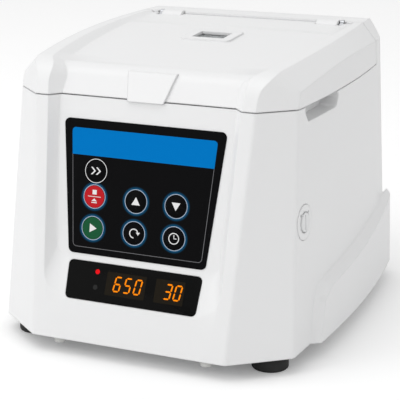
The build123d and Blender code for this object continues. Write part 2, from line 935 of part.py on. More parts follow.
# Lid
with BuildPart() as lid_shell:
    add(crown & slab(-corner_half_low, corner_half_low, 0, lid_end, lid_low, crown_top))
    add(crown_inside & slab(-corner_half_low, corner_half_low, 0, lid_end - wall, seam_height - wall - 1, crown_top),
        mode=Mode.SUBTRACT)
    # Finger tab at the front, hanging just over the casing's edge
    with BuildSketch(level(seam_height - tab_drop)) as tab_foot:
        with Locations((0, tab_foot_back)):
            Rectangle(2 * tab_half_foot, tab_deep, align=(Align.CENTER, Align.MIN))
    with BuildSketch(level(tab_head_height)) as tab_head:
        with Locations((0, tab_head_back)):
            Rectangle(2 * tab_half_head, tab_deep, align=(Align.CENTER, Align.MIN))
    tab = loft([tab_foot.sketch, tab_head.sketch], ruled=True, mode=Mode.PRIVATE)
    tab = tab - slab(-tab_half_head, tab_half_head, tab_foot_back + tab_lip, lid_end, seam_height - clear, lid_low)
    add(tab)
    # Raised frame round the window
    with BuildSketch(level(window_frame_low)) as frame_plan:
        with Locations((0, window_back)):
            Rectangle(2 * window_half, window_reach, align=(Align.CENTER, Align.MIN))
        fillet(frame_plan.vertices(), radius=window_round)
    frame_block = extrude(frame_plan.sketch, amount=clear / 2, mode=Mode.PRIVATE)
    frame_over = extrude(floor_view(-window_proud), amount=slope_outer_half, both=True, mode=Mode.PRIVATE)
    frame_under = extrude(floor_view(window_block), amount=slope_outer_half, both=True, mode=Mode.PRIVATE)
    add((frame_block - frame_over) & frame_under)
    window_near = window_back + (window_reach - window_hole_reach) / 2
    window_far = window_near + window_hole_reach
    add(slab(-window_hole_half, window_hole_half, window_near, window_far, window_frame_low, crown_top),
        mode=Mode.SUBTRACT)
    pane_under = extrude(floor_view(pane_drop), amount=slope_outer_half, both=True, mode=Mode.PRIVATE)
    pane_seat = slab(-window_hole_half - pane_margin - pane_fit, window_hole_half + pane_margin + pane_fit,
                     window_near - pane_margin - pane_fit, window_far + pane_margin + pane_fit,
                     window_frame_low, crown_top)
    add(pane_seat - pane_under, mode=Mode.SUBTRACT)
    # Bosses for the liner's screws
    for place in lid_boss_places:
        add(both_sides(pillar(place[0], place[1], liner_height + liner_thick + liner_fit, crown_top, lid_boss_radius))
            & crown)
    # Fins that hold the hinge arms
    for inner in (arm_inner_half - fin_gap - fin_thick, arm_inner_half + arm_thick + fin_gap):
        add(both_sides(slab(inner, inner + fin_thick, arm_front - 1, arm_neck - 2, arm_top - arm_height, crown_top))
            & crown)
    # Relief in the rear wall's lower edge, which swings past the chamber's seal
    add(slab(-relief_half, relief_half, lid_end - wall - relief_reach, lid_end + 1, lid_low - 1,
             lid_low + relief_rise), mode=Mode.SUBTRACT)
    # Notches round the hinge knuckles and the arms
    add(both_sides(slab(knuckle_inner_half - knuckle_gap, arm_inner_half + arm_thick + small_gap,
                        knuckle_back - knuckle_radius - knuckle_gap, hinge_back, notch_floor, crown_top)),
        mode=Mode.SUBTRACT)
    for place in lid_boss_places:
        add(both_sides(pillar(place[0], place[1], liner_height, liner_height + lid_screw_length, lid_screw_radius)),
            mode=Mode.SUBTRACT)
keep(lid_shell.part, "lid_shell")

with BuildPart() as lid_window:
    add(slab(-window_hole_half - pane_margin, window_hole_half + pane_margin, window_near - pane_margin,
             window_far + pane_margin, window_frame_low, crown_top))
    add(extrude(floor_view(pane_drop + small_gap / 10), amount=slope_outer_half, both=True, mode=Mode.PRIVATE),
        mode=Mode.SUBTRACT)
    add(extrude(floor_view(pane_drop + pane_thick), amount=slope_outer_half, both=True, mode=Mode.PRIVATE),
        mode=Mode.INTERSECT)
keep(lid_window.part, "lid_window")

with BuildPart() as lid_liner:
    add(crown_form(wall + liner_fit) & slab(-corner_half_low, corner_half_low, 0, lid_end - wall - liner_fit,
                                            liner_height, liner_height + liner_thick))
    # Well under the window, cut off just below the pane
    well = slab(-window_hole_half - well_wall, window_hole_half + well_wall, window_near - well_wall,
                window_far + well_wall, liner_height, crown_top)
    add(well - extrude(floor_view(pane_drop + pane_thick + small_gap), amount=slope_outer_half, both=True,
                       mode=Mode.PRIVATE))
    add(slab(-window_hole_half, window_hole_half, window_near, window_far, liner_height - 1, crown_top),
        mode=Mode.SUBTRACT)
    for place in lid_boss_places:
        add(both_sides(pillar(place[0], place[1], liner_height, liner_height + liner_thick,
                              lid_screw_radius + small_gap / 3)), mode=Mode.SUBTRACT)
keep(lid_liner.part, "lid_liner")

with BuildPart() as lid_striker:
    add(crossbar(-striker_half, striker_half, striker_back, striker_height, striker_radius))
    for side in (-striker_leg_half, striker_leg_half):
        add(pillar(side, striker_back, striker_height, liner_height - striker_plate_thick, striker_leg_radius))
    add(slab(-striker_plate_half, striker_plate_half, striker_back - striker_plate_reach / 2,
             striker_back + striker_plate_reach / 2, liner_height - striker_plate_thick, liner_height))
keep(lid_striker.part, "lid_striker")

with BuildPart() as lid_screws:
    for place in lid_boss_places:
        add(both_sides(pillar(place[0], place[1], liner_height - lid_head_height, liner_height, lid_head_radius)))
        add(both_sides(pillar(place[0], place[1], liner_height, liner_height + lid_screw_length - 1,
                              lid_screw_radius - hinge_fit)))
keep(lid_screws.part, "lid_screws")

with BuildPart() as hinge_arms:
    with BuildSketch(upright(arm_inner_half)) as arm_view:
        with BuildLine():
            Polyline(
                (arm_front, arm_top),
                (arm_front, arm_top - arm_height),
                (arm_neck, arm_top - arm_height),
                (hinge_back, hinge_height - arm_ring_radius),
                (hinge_back - arm_ring_radius, hinge_height),
                (arm_neck, arm_top),
                close=True,
            )
        make_face()
        with Locations((hinge_back, hinge_height)):
            Circle(arm_ring_radius)
            Circle(hinge_pin_radius + hinge_fit, mode=Mode.SUBTRACT)
    extrude(arm_view.sketch, amount=arm_thick)
    mirror(about=Plane.YZ)
keep(hinge_arms.part, "hinge_arms")

with BuildPart() as hinge_pins:
    add(both_sides(crossbar(knuckle_inner_half, hinge_pin_end - 0.5, hinge_back, hinge_height, hinge_pin_radius)))
keep(hinge_pins.part, "hinge_pins")

# Chamber
chamber_plane = Plane(origin=(0, front + chamber_back, 0), x_dir=(1, 0, 0), z_dir=(0, -1, 0))
bowl_outer = bowl_radius + bowl_skin
flange_outer = bowl_outer + bowl_flange - bowl_skin
with BuildPart() as chamber_bowl:
    with BuildSketch(chamber_plane):
        with BuildLine():
            Polyline(
                (bowl_drain_radius, bowl_floor),
                (bowl_outer, bowl_floor),
                (bowl_outer, deck_top),
                (flange_outer, deck_top),
                (flange_outer, deck_top + bowl_flange_thick),
                (bowl_radius, deck_top + bowl_flange_thick),
                (bowl_radius, bowl_floor + bowl_skin),
                (bowl_drain_radius, bowl_floor + bowl_skin),
                close=True,
            )
        make_face()
        fillet(vertices().sort_by_distance((bowl_outer, bowl_floor))[0], radius=bowl_bend + bowl_skin)
        fillet(vertices().sort_by_distance((bowl_radius, bowl_floor + bowl_skin))[0], radius=bowl_bend)
    revolve(axis=Axis((0, front + chamber_back, 0), (0, 0, 1)))
    for turn in range(flange_screws):
        angle = radians(360 / flange_screws * (turn + 0.5))
        add(pillar(flange_screw_reach * cos(angle), chamber_back + flange_screw_reach * sin(angle),
                   deck_top - 1, seam_height, flange_screw_radius + small_gap / 3), mode=Mode.SUBTRACT)
keep(chamber_bowl.part, "chamber_bowl")

with BuildPart() as bowl_screws:
    for turn in range(flange_screws):
        angle = radians(360 / flange_screws * (turn + 0.5))
        across = flange_screw_reach * cos(angle)
        back = chamber_back + flange_screw_reach * sin(angle)
        head_low = deck_top + bowl_flange_thick
        add(pillar(across, back, head_low, head_low + flange_head_height, flange_head_radius))
        add(pillar(across, back, head_low - flange_screw_length, head_low, flange_screw_radius))
keep(bowl_screws.part, "bowl_screws")

with BuildPart() as chamber_seal:
    with BuildSketch(level(deck_top + bowl_flange_thick)):
        with Locations((0, chamber_back)):
            Circle(seal_inner + seal_width)
            Circle(seal_inner, mode=Mode.SUBTRACT)
    extrude(amount=seal_height)
    fillet(edges().group_by(Axis.Z)[-1], radius=1.2)
keep(chamber_seal.part, "chamber_seal")

# Motor
plate_top = shell_bottom + plate_lift + plate_thick
motor_plate_low = plate_top + damper_height
motor_low = motor_plate_low + motor_plate_thick
motor_high = motor_low + motor_height
with BuildPart() as motor_dampers:
    for turn in range(3):
        angle = radians(90 + 120 * turn)
        add(pillar(damper_reach * cos(angle), chamber_back + damper_reach * sin(angle), plate_top,
                   motor_plate_low, damper_radius))
    fillet(edges().filter_by(GeomType.CIRCLE), radius=2)
keep(motor_dampers.part, "motor_dampers")

with BuildPart() as motor_plate:
    add(pillar(0, chamber_back, motor_plate_low, motor_low, motor_plate_radius))
    fillet(edges().group_by(Axis.Z)[-1], radius=1)
keep(motor_plate.part, "motor_plate")

with BuildPart() as motor:
    add(pillar(0, chamber_back, motor_low, motor_high, motor_radius))
    chamfer(edges().group_by(Axis.Z)[-1], length=3)
    add(pillar(0, chamber_back, motor_high, motor_high + motor_cap_height, motor_cap_radius))
    add(pillar(0, chamber_back, shaft_foot - shaft_room, motor_high + motor_cap_height + 1,
               shaft_radius + shaft_room), mode=Mode.SUBTRACT)
keep(motor.part, "motor")

rotor_hub_top = rotor_base + rotor_hub_height
with BuildPart() as motor_shaft:
    add(pillar(0, chamber_back, shaft_foot, rotor_hub_top - wall, shaft_radius))
    add(pillar(0, chamber_back, rotor_hub_top - wall, rotor_hub_top + stud_height, stud_radius))
keep(motor_shaft.part, "motor_shaft")

seal_low = motor_high + motor_cap_height
with BuildPart() as shaft_seal:
    with BuildSketch(chamber_plane):
        with BuildLine():
            Polyline(
                (seal_bore, seal_low),
                (seal_body_radius, seal_low),
                (seal_body_radius, bowl_floor - seal_lip_thick - 1),
                (seal_lip_radius, bowl_floor - seal_lip_thick),
                (seal_lip_radius, bowl_floor),
                (bowl_drain_radius, bowl_floor),
                (bowl_drain_radius, bowl_floor + bowl_skin),
                (seal_lip_radius, bowl_floor + bowl_skin),
                (seal_body_radius, bowl_floor + bowl_skin + seal_lip_thick),
                (seal_bore, bowl_floor + bowl_skin + seal_lip_thick),
                close=True,
            )
        make_face()
    revolve(axis=Axis((0, front + chamber_back, 0), (0, 0, 1)))
keep(shaft_seal.part, "shaft_seal")

# Rotor with leaning tube bores
with BuildPart() as rotor:
    with BuildSketch(chamber_plane):
        with BuildLine():
            Polyline(
                (0, rotor_base),
                (rotor_radius - rotor_chamfer, rotor_base),
                (rotor_radius, rotor_base + rotor_chamfer),
                (rotor_radius, rotor_base + rotor_height),
                (rotor_valley + rotor_height - rotor_floor, rotor_base + rotor_height),
                (rotor_valley, rotor_base + rotor_floor),
                (rotor_hub_radius, rotor_base + rotor_floor),
                (rotor_hub_radius, rotor_hub_top),
                (0, rotor_hub_top),
                close=True,
            )
        make_face()
        fillet(vertices().sort_by_distance((rotor_radius, rotor_base + rotor_height))[0], radius=rotor_round)
        fillet(vertices().sort_by_distance((rotor_radius, rotor_base + rotor_chamfer))[0], radius=rotor_round)
    revolve(axis=Axis((0, front + chamber_back, 0), (0, 0, 1)))
    mouth = chamber_plane.from_local_coords((tube_reach, rotor_base + tube_rise, 0))
    lean = radians(rotor_lean)
    bore_plane = Plane(origin=mouth, x_dir=(0, 1, 0), z_dir=(-sin(lean), 0, cos(lean)))
    with BuildSketch(bore_plane) as bore_mouth:
        Circle(tube_mouth_radius)
    with BuildSketch(bore_plane) as bore_end:
        Circle(tube_radius)
    bore = extrude(bore_end.sketch, amount=-tube_depth, mode=Mode.PRIVATE)
    bore += extrude(bore_mouth.sketch, amount=-tube_mouth_depth, mode=Mode.PRIVATE)
    bore += extrude(bore_mouth.sketch, amount=tube_mouth_reach, mode=Mode.PRIVATE)
    spin = Axis((0, front + chamber_back, 0), (0, 0, 1))
    for tube in range(tube_count):
        add(bore.rotate(spin, 360 / tube_count * tube), mode=Mode.SUBTRACT)
    add(pillar(0, chamber_back, rotor_base - 1, rotor_hub_top - wall, shaft_radius), mode=Mode.SUBTRACT)
    add(pillar(0, chamber_back, rotor_hub_top - wall, rotor_hub_top + 1, stud_radius), mode=Mode.SUBTRACT)
keep(rotor.part, "rotor")

with BuildPart() as rotor_nut:
    add(pillar(0, chamber_back, rotor_hub_top + small_gap, rotor_hub_top + small_gap + nut_flange_thick,
               nut_flange_radius))
    add(pillar(0, chamber_back, rotor_hub_top + small_gap, rotor_hub_top + small_gap + nut_height, nut_radius))
    fillet(edges().group_by(Axis.Z)[-1], radius=1.5)
    for flute in range(nut_flutes):
        angle = radians(360 / nut_flutes * flute)
        add(pillar(nut_radius * cos(angle), chamber_back + nut_radius * sin(angle),
                   rotor_hub_top + small_gap + 2 * nut_flange_thick, rotor_hub_top + small_gap + nut_height + 1,
                   nut_flute_radius), mode=Mode.SUBTRACT)
    add(pillar(0, chamber_back, rotor_hub_top, rotor_hub_top + stud_height + 1, stud_radius + nut_fit),
        mode=Mode.SUBTRACT)
keep(rotor_nut.part, "rotor_nut")

# Lid lock
with BuildPart() as latch_bracket:
    plate = slab(bracket_half, bracket_half + bracket_thick, bracket_front, bracket_rear, solenoid_high, cavity_top)
    foot = slab(bracket_half, bracket_half + bracket_flange, bracket_front, bracket_rear,
                cavity_top - bracket_thick, cavity_top)
    add(both_sides(plate + foot))
    add(slab(-bracket_half, bracket_half, plunger_back - solenoid_reach, plunger_back + fork_outer_half,
             solenoid_high, solenoid_high + bracket_thick))
    add(pillar(0, plunger_back, solenoid_high - 1, solenoid_high + wall, plunger_radius + small_gap),
        mode=Mode.SUBTRACT)
    add(both_sides(crossbar(bracket_half - 1, bracket_half + wall, hook_pivot_back, hook_pivot_height,
                            hook_pivot_radius)), mode=Mode.SUBTRACT)
keep(latch_bracket.part, "latch_bracket")

with BuildPart() as latch_pin:
    add(crossbar(-bracket_half - bracket_thick - 1, bracket_half + bracket_thick + 1, hook_pivot_back,
                 hook_pivot_height, hook_pivot_radius))
keep(latch_pin.part, "latch_pin")

with BuildPart() as latch_hook:
    with BuildSketch(upright(-hook_half)) as hook_view:
        with BuildLine():
            Polyline(
                (hook_tip_back, hook_under),
                (hook_tip_back, hook_under + 1),
                (hook_tip_back + wall, hook_top),
                (hook_rear_back, hook_top),
                (hook_pivot_back + hook_hub_radius, hook_pivot_height),
                (hook_pivot_back - hook_hub_radius, hook_pivot_height),
                (hook_front_back, hook_under),
                close=True,
            )
        make_face()
        with Locations((hook_pivot_back, hook_pivot_height)):
            Circle(hook_hub_radius)
            Rectangle(hook_tail_end, 2 * hook_tail_half, align=(Align.MIN, Align.CENTER))
            Circle(hook_pivot_radius + hinge_fit, mode=Mode.SUBTRACT)
        with Locations((hook_pivot_back + hook_tail, hook_pivot_height)):
            SlotCenterToCenter(2 * fork_slot_reach, 2 * fork_slot_radius, mode=Mode.SUBTRACT)
    extrude(hook_view.sketch, amount=2 * hook_half)
hook_axis = Axis((0, front + hook_pivot_back, hook_pivot_height), (1, 0, 0))
keep(latch_hook.part.rotate(hook_axis, -hook_throw), "latch_hook")

fork_drop = hook_tail * sin(radians(hook_throw))
with BuildPart() as solenoid_plunger:
    add(pillar(0, plunger_back, plunger_foot, fork_floor, plunger_radius))
    cheek = slab(fork_inner_half, fork_outer_half, plunger_back - fork_reach, plunger_back + fork_reach,
                 fork_floor - 2, fork_top)
    add(both_sides(cheek))
    add(slab(-fork_outer_half, fork_outer_half, plunger_back - fork_reach, plunger_back + fork_reach,
             fork_floor - 2, fork_floor))
    add(crossbar(-fork_outer_half, fork_outer_half, plunger_back, hook_pivot_height - fork_drop, fork_pin_radius))
keep(solenoid_plunger.part, "solenoid_plunger")

with BuildPart() as solenoid:
    add(slab(-solenoid_half, solenoid_half, plunger_back - solenoid_reach, plunger_back + solenoid_reach - 1,
             solenoid_low, solenoid_high))
    add(pillar(0, plunger_back, plunger_foot - fork_drop - small_gap, solenoid_high + 1,
               plunger_radius + small_gap), mode=Mode.SUBTRACT)
keep(solenoid.part, "solenoid")

with BuildPart() as lid_switch:
    add(slab(switch_body_across - switch_body_half, switch_body_across + switch_body_half, switch_body_front,
             switch_body_rear, switch_body_low, switch_body_high))
    add(pillar(switch_body_across - 1, striker_back, switch_body_high, switch_button_high, switch_button_radius))
keep(lid_switch.part, "lid_switch")

# Control panel
with BuildPart() as panel_overlay:
    with BuildSketch(front_face.offset(-panel_depth)):
        with BuildLine():
            Polyline(
                (-overlay_half_low, up_floor(overlay_low)),
                (overlay_half_low, up_floor(overlay_low)),
                (overlay_half_high, up_floor(overlay_high)),
                (-overlay_half_high, up_floor(overlay_high)),
                close=True,
            )
        make_face()
        fillet(vertices().group_by(Axis.Z)[0], radius=overlay_round_low)
        fillet(vertices().group_by(Axis.Z)[-1], radius=overlay_round_high)
    extrude(amount=overlay_thick)
    for place in key_places.values():
        add(panel_disc(place[0], place[1], key_board_depth, 0, key_radius + key_fit), mode=Mode.SUBTRACT)
keep(panel_overlay.part, "panel_overlay")

key_face = panel_depth - overlay_thick - key_proud
for name, place in key_places.items():
    with BuildPart() as key:
        add(panel_disc(place[0], place[1], key_flange_depth, key_face, key_radius))
        add(panel_disc(place[0], place[1], key_flange_depth + key_flange, key_flange_depth,
                       key_radius + key_flange))
        add(panel_disc(place[0], place[1], key_stem_end, key_flange_depth, key_stem_radius))
    keep(key.part, name)

with BuildPart() as key_board:
    with BuildSketch(front_face.offset(-key_board_depth - board_thick)):
        with Locations((0, up_floor(key_board_low))):
            Rectangle(2 * key_board_half, up_floor(key_board_high) - up_floor(key_board_low),
                      align=(Align.CENTER, Align.MIN))
    extrude(amount=board_thick)
    for place in key_places.values():
        add(panel_disc(place[0], place[1], key_board_depth, key_board_depth - key_switch_height,
                       key_switch_radius))
keep(key_board.part, "key_board")

with BuildPart() as display_strip:
    add(strip_block(strip_thick - strip_proud, -strip_proud))
keep(display_strip.part, "display_strip")

module_front = strip_thick - strip_proud + small_gap
for name, span in (("speed_digits", speed_window), ("time_digits", time_window)):
    keep(ramp_block(span, digit_window_low, digit_window_high, display_board_depth, module_front), name)
for name, row in (("run_lamp", lamp_row_high), ("fault_lamp", lamp_row_low)):
    keep(ramp_disc(row, display_board_depth, module_front, lamp_radius), name)

with BuildPart() as display_board:
    add(ramp_block((-display_board_half, display_board_half), display_board_low, display_board_high,
                   display_board_depth + board_thick, display_board_depth))
keep(display_board.part, "display_board")

# Emergency release
with BuildPart() as release_ring:
    add(plug_disc(ring_deep, ring_proud, ring_radius, plug_radius + plug_gap))
    for turn in (-1, 1):
        with BuildSketch(plug_face.offset(-ring_deep)):
            with Locations(Rotation(0, 0, turn * plug_notch_turn)):
                with Locations((0, plug_radius + plug_gap)):
                    Rectangle(2 * plug_notch_half, 2 * plug_notch_reach)
        extrude(amount=ring_deep + ring_proud, mode=Mode.SUBTRACT)
keep(release_ring.part, "release_ring")

with BuildPart() as release_plug:
    add(plug_disc(plug_length, plug_proud, plug_radius))
    with BuildSketch(plug_face.offset(plug_proud - plug_slot_deep)):
        Rectangle(2 * plug_slot_half, 2 * plug_radius - wall)
    extrude(amount=plug_slot_deep + 1, mode=Mode.SUBTRACT)
keep(release_plug.part, "release_plug")

# Base
with BuildPart() as base_plate:
    loft([casing_outline(shell_bottom + plate_lift, wall + plate_fit, front_skin + plate_fit),
          casing_outline(plate_top, wall + plate_fit, front_skin + plate_fit)], ruled=True)
    for place in post_places:
        add(both_sides(pillar(place[0], place[1], shell_bottom, plate_top + 1, base_screw_radius + small_gap)),
            mode=Mode.SUBTRACT)
    for across in (-main_board_outer + standoff_inset, -main_board_inner - standoff_inset):
        for back in (main_board_front + standoff_inset, main_board_rear - standoff_inset):
            add(pillar(across, back, plate_top, plate_top + standoff_height, standoff_radius))
keep(base_plate.part, "base_plate")

with BuildPart() as base_screws:
    for place in post_places:
        add(both_sides(pillar(place[0], place[1], shell_bottom + plate_lift - screw_head_height,
                              shell_bottom + plate_lift, screw_head_radius)))
        add(both_sides(pillar(place[0], place[1], shell_bottom + plate_lift - 1,
                              shell_bottom + base_screw_length - 1, base_screw_radius - hinge_fit)))
keep(base_screws.part, "base_screws")

with BuildPart() as rubber_feet:
    for back in (foot_front_back, foot_rear_back):
        add(both_sides(pillar(foot_half, back, 0, shell_bottom + plate_lift, foot_radius)))
    fillet(edges().group_by(Axis.Z)[0], radius=1.5)
keep(rubber_feet.part, "rubber_feet")

with BuildPart() as front_bumpers:
    add(both_sides(pillar(bumper_half, bumper_back, shell_bottom - bumper_height, shell_bottom, bumper_radius)))
    fillet(edges().group_by(Axis.Z)[0], radius=1.5)
keep(front_bumpers.part, "front_bumpers")

# Rear panel with the power inlet and switch
with BuildPart() as rear_panel:
    add(slab(-rear_panel_half + rear_panel_fit, rear_panel_half - rear_panel_fit, panel_face_back, tail_back,
             rear_panel_low + rear_panel_fit, rear_panel_high - rear_panel_fit))
    for place in rear_screw_places:
        add(both_sides(rear_bar(place[0], place[1], panel_face_back - 1, tail_back + 1,
                                rear_screw_radius + small_gap / 3)), mode=Mode.SUBTRACT)
    add(rear_block(inlet_across, inlet_flange_half - inlet_body_margin + rear_panel_fit, inlet_height,
                   inlet_flange_half_high - inlet_body_margin + rear_panel_fit, panel_face_back - 1,
                   tail_back + 1), mode=Mode.SUBTRACT)
    add(rear_block(power_across, power_half - power_frame_width / 2 + rear_panel_fit, inlet_height,
                   power_half_high - power_frame_width / 2 + rear_panel_fit, panel_face_back - 1,
                   tail_back + 1), mode=Mode.SUBTRACT)
    for slot in range(vent_count):
        across = vent_pitch * (slot - (vent_count - 1) / 2)
        add(rear_block(across, vent_half, vent_height, vent_length / 2, panel_face_back - 1, tail_back + 1),
            mode=Mode.SUBTRACT)
keep(rear_panel.part, "rear_panel")

with BuildPart() as rear_screws:
    for place in rear_screw_places:
        add(both_sides(rear_bar(place[0], place[1], tail_back, tail_back + rear_head_height, rear_head_radius)))
        add(both_sides(rear_bar(place[0], place[1], tail_back - rear_screw_length, tail_back,
                                rear_screw_radius - hinge_fit)))
keep(rear_screws.part, "rear_screws")

with BuildPart() as mains_inlet:
    add(rear_block(inlet_across, inlet_flange_half, inlet_height, inlet_flange_half_high, tail_back,
                   tail_back + inlet_flange_thick))
    add(rear_block(inlet_across, inlet_flange_half - inlet_body_margin, inlet_height,
                   inlet_flange_half_high - inlet_body_margin, tail_back - inlet_deep, tail_back))
    with BuildSketch(Plane(origin=(socket_across, front + tail_back + inlet_flange_thick, inlet_height),
                           x_dir=(1, 0, 0), z_dir=(0, -1, 0))) as mouth_view:
        Rectangle(2 * socket_half, 2 * socket_half_high)
        chamfer(mouth_view.vertices().group_by(Axis.Z)[0], length=socket_corner)
    extrude(mouth_view.sketch, amount=socket_deep, mode=Mode.SUBTRACT)
    add(rear_block(fuse_across + 1, fuse_half + fuse_fit, inlet_height, fuse_half_high + fuse_fit,
                   tail_back + inlet_flange_thick - fuse_deep - 1, tail_back + 2 * wall), mode=Mode.SUBTRACT)
keep(mains_inlet.part, "mains_inlet")

with BuildPart() as inlet_blades:
    blade_root = tail_back + inlet_flange_thick - socket_deep
    for step in (-1, 0, 1):
        rise = blade_rise if step == 0 else 0
        add(rear_block(socket_across + step * blade_pitch, blade_half, inlet_height + rise, blade_half_high,
                       blade_root, blade_root + blade_length))
keep(inlet_blades.part, "inlet_blades")

with BuildPart() as fuse_drawer:
    add(rear_block(fuse_across + 1, fuse_half, inlet_height, fuse_half_high,
                   tail_back + inlet_flange_thick - fuse_deep, tail_back + inlet_flange_thick + fuse_face_thick))
    add(rear_block(fuse_across + 1, fuse_grip_half, inlet_height, 1, tail_back, tail_back + 2 * wall))
keep(fuse_drawer.part, "fuse_drawer")

with BuildPart() as power_frame:
    add(rear_block(power_across, power_half, inlet_height, power_half_high, tail_back,
                   tail_back + power_frame_thick))
    add(rear_block(power_across, power_half - power_frame_width / 2, inlet_height,
                   power_half_high - power_frame_width / 2, tail_back - power_deep, tail_back))
    add(rear_block(power_across, power_half - power_frame_width, inlet_height,
                   power_half_high - power_frame_width, tail_back - power_deep + 2, tail_back + wall),
        mode=Mode.SUBTRACT)
keep(power_frame.part, "power_frame")

rocker_half = power_half - power_frame_width - rocker_fit
rocker_pivot = tail_back + power_frame_thick - power_pivot_deep
rocker_face = power_pivot_deep + rocker_proud
with BuildPart() as power_rocker:
    with BuildSketch(upright(power_across - rocker_half)) as rocker_view:
        with BuildLine():
            Polyline(
                (rocker_pivot - rocker_deep, inlet_height - rocker_deep),
                (rocker_pivot + rocker_face - rocker_proud, inlet_height - rocker_half_high),
                (rocker_pivot + rocker_face - 2 * rocker_proud, inlet_height),
                (rocker_pivot + rocker_face - rocker_proud, inlet_height + rocker_half_high),
                (rocker_pivot - rocker_deep, inlet_height + rocker_deep),
                close=True,
            )
        make_face()
    extrude(rocker_view.sketch, amount=2 * rocker_half)
rocker_axis = Axis((0, front + rocker_pivot, inlet_height), (1, 0, 0))
keep(power_rocker.part.rotate(rocker_axis, rocker_swing / 2), "power_rocker")

# Boards and power parts
board_low = plate_top + standoff_height
board_high = board_low + board_thick
with BuildPart() as main_board:
    add(slab(-main_board_outer, -main_board_inner, main_board_front, main_board_rear, board_low, board_high))
keep(main_board.part, "main_board")

with BuildPart() as capacitors:
    for step in range(capacitor_count):
        add(pillar(capacitor_across, capacitor_front + step * capacitor_pitch, board_high,
                   board_high + capacitor_height, capacitor_radius))
    fillet(edges().group_by(Axis.Z)[-1], radius=1)
keep(capacitors.part, "capacitors")

with BuildPart() as heat_sink:
    add(slab(-sink_outer, -sink_inner, sink_front, sink_front + sink_length, board_high, board_high + sink_base))
    for fin in range(sink_fins):
        inner = -sink_outer + fin * (sink_outer - sink_inner - sink_fin) / (sink_fins - 1)
        add(slab(inner, inner + sink_fin, sink_front, sink_front + sink_length, board_high, board_high + sink_height))
keep(heat_sink.part, "heat_sink")

with BuildPart() as transformer:
    add(slab(transformer_inner, transformer_outer, transformer_front, transformer_front + transformer_length,
             plate_top, plate_top + transformer_height))
    coil_low = plate_top + coil_margin
    coil_high = plate_top + transformer_height - coil_margin
    add(slab(transformer_inner + coil_margin, transformer_outer - coil_margin, transformer_front - coil_reach,
             transformer_front + transformer_length + coil_reach, coil_low, coil_high))
keep(transformer.part, "transformer")
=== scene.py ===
# %% [markdown]
# # A bench microcentrifuge, dressed piece by piece
#
# The frame that this script loads holds the engineering solids: a flared casing, a hinged lid,
# a leaning keypad, a rotor for twelve small tubes and what drives it. The cells below give
# them their looks. Lengths are in metres, +Z is up and -Y is the front.

import json
import math

import bmesh
import bpy
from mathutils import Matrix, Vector

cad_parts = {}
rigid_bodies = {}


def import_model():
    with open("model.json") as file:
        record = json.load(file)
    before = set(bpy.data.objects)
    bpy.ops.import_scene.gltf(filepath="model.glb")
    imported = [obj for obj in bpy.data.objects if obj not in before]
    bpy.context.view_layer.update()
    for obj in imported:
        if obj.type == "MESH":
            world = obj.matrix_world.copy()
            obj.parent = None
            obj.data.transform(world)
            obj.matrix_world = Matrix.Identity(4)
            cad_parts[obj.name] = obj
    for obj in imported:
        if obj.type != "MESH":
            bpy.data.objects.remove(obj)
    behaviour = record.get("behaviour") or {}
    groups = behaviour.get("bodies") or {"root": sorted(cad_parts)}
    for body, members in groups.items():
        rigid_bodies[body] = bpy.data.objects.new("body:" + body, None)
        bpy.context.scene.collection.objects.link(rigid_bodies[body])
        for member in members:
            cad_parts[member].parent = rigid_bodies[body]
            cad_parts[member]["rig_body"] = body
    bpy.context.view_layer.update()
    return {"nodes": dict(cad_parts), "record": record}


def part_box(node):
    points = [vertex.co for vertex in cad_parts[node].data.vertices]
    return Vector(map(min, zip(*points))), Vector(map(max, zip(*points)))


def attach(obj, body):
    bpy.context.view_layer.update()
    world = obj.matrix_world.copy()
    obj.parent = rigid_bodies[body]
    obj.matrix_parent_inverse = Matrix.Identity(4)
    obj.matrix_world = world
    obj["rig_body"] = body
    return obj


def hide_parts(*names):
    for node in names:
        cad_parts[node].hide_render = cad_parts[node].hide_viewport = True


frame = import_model()
MM = 0.001
scene = bpy.context.scene

# %% [markdown]
# ## The camera
#
# The photograph was taken from the front left, a little above, with a long lens. The camera's
# place was found by lining up the casing's corners with the picture. Another way is to guess
# and compare, but a fit gives the same perspective everywhere at once.

# %%
# Put the camera where the photographer stood
camera_data = bpy.data.cameras.new("photo_camera")
camera = bpy.data.objects.new("photo_camera", camera_data)
scene.collection.objects.link(camera)
CAMERA_PLACE = (0.440304, -1.041256, 0.427862)
camera.location = CAMERA_PLACE
camera_turn = math.radians(22.97)
camera_drop = math.radians(16.30)
camera.rotation_euler = (math.radians(90) - camera_drop, 0, camera_turn)
camera_data.sensor_fit = "HORIZONTAL"
camera_data.sensor_width = 36.0
camera_data.lens = 119.5
camera_data.clip_end = 50.0
scene.camera = camera
print("camera", tuple(round(v, 3) for v in camera.location))

# %% [markdown]
# ## Shared shader groups
#
# Moulded plastic has a fine grain, and every surface has slight changes of gloss. One group
# gives both as plain numbers, so each material feeds them where it likes. An image texture
# could do the same, but a procedural grain never repeats and needs no picture.

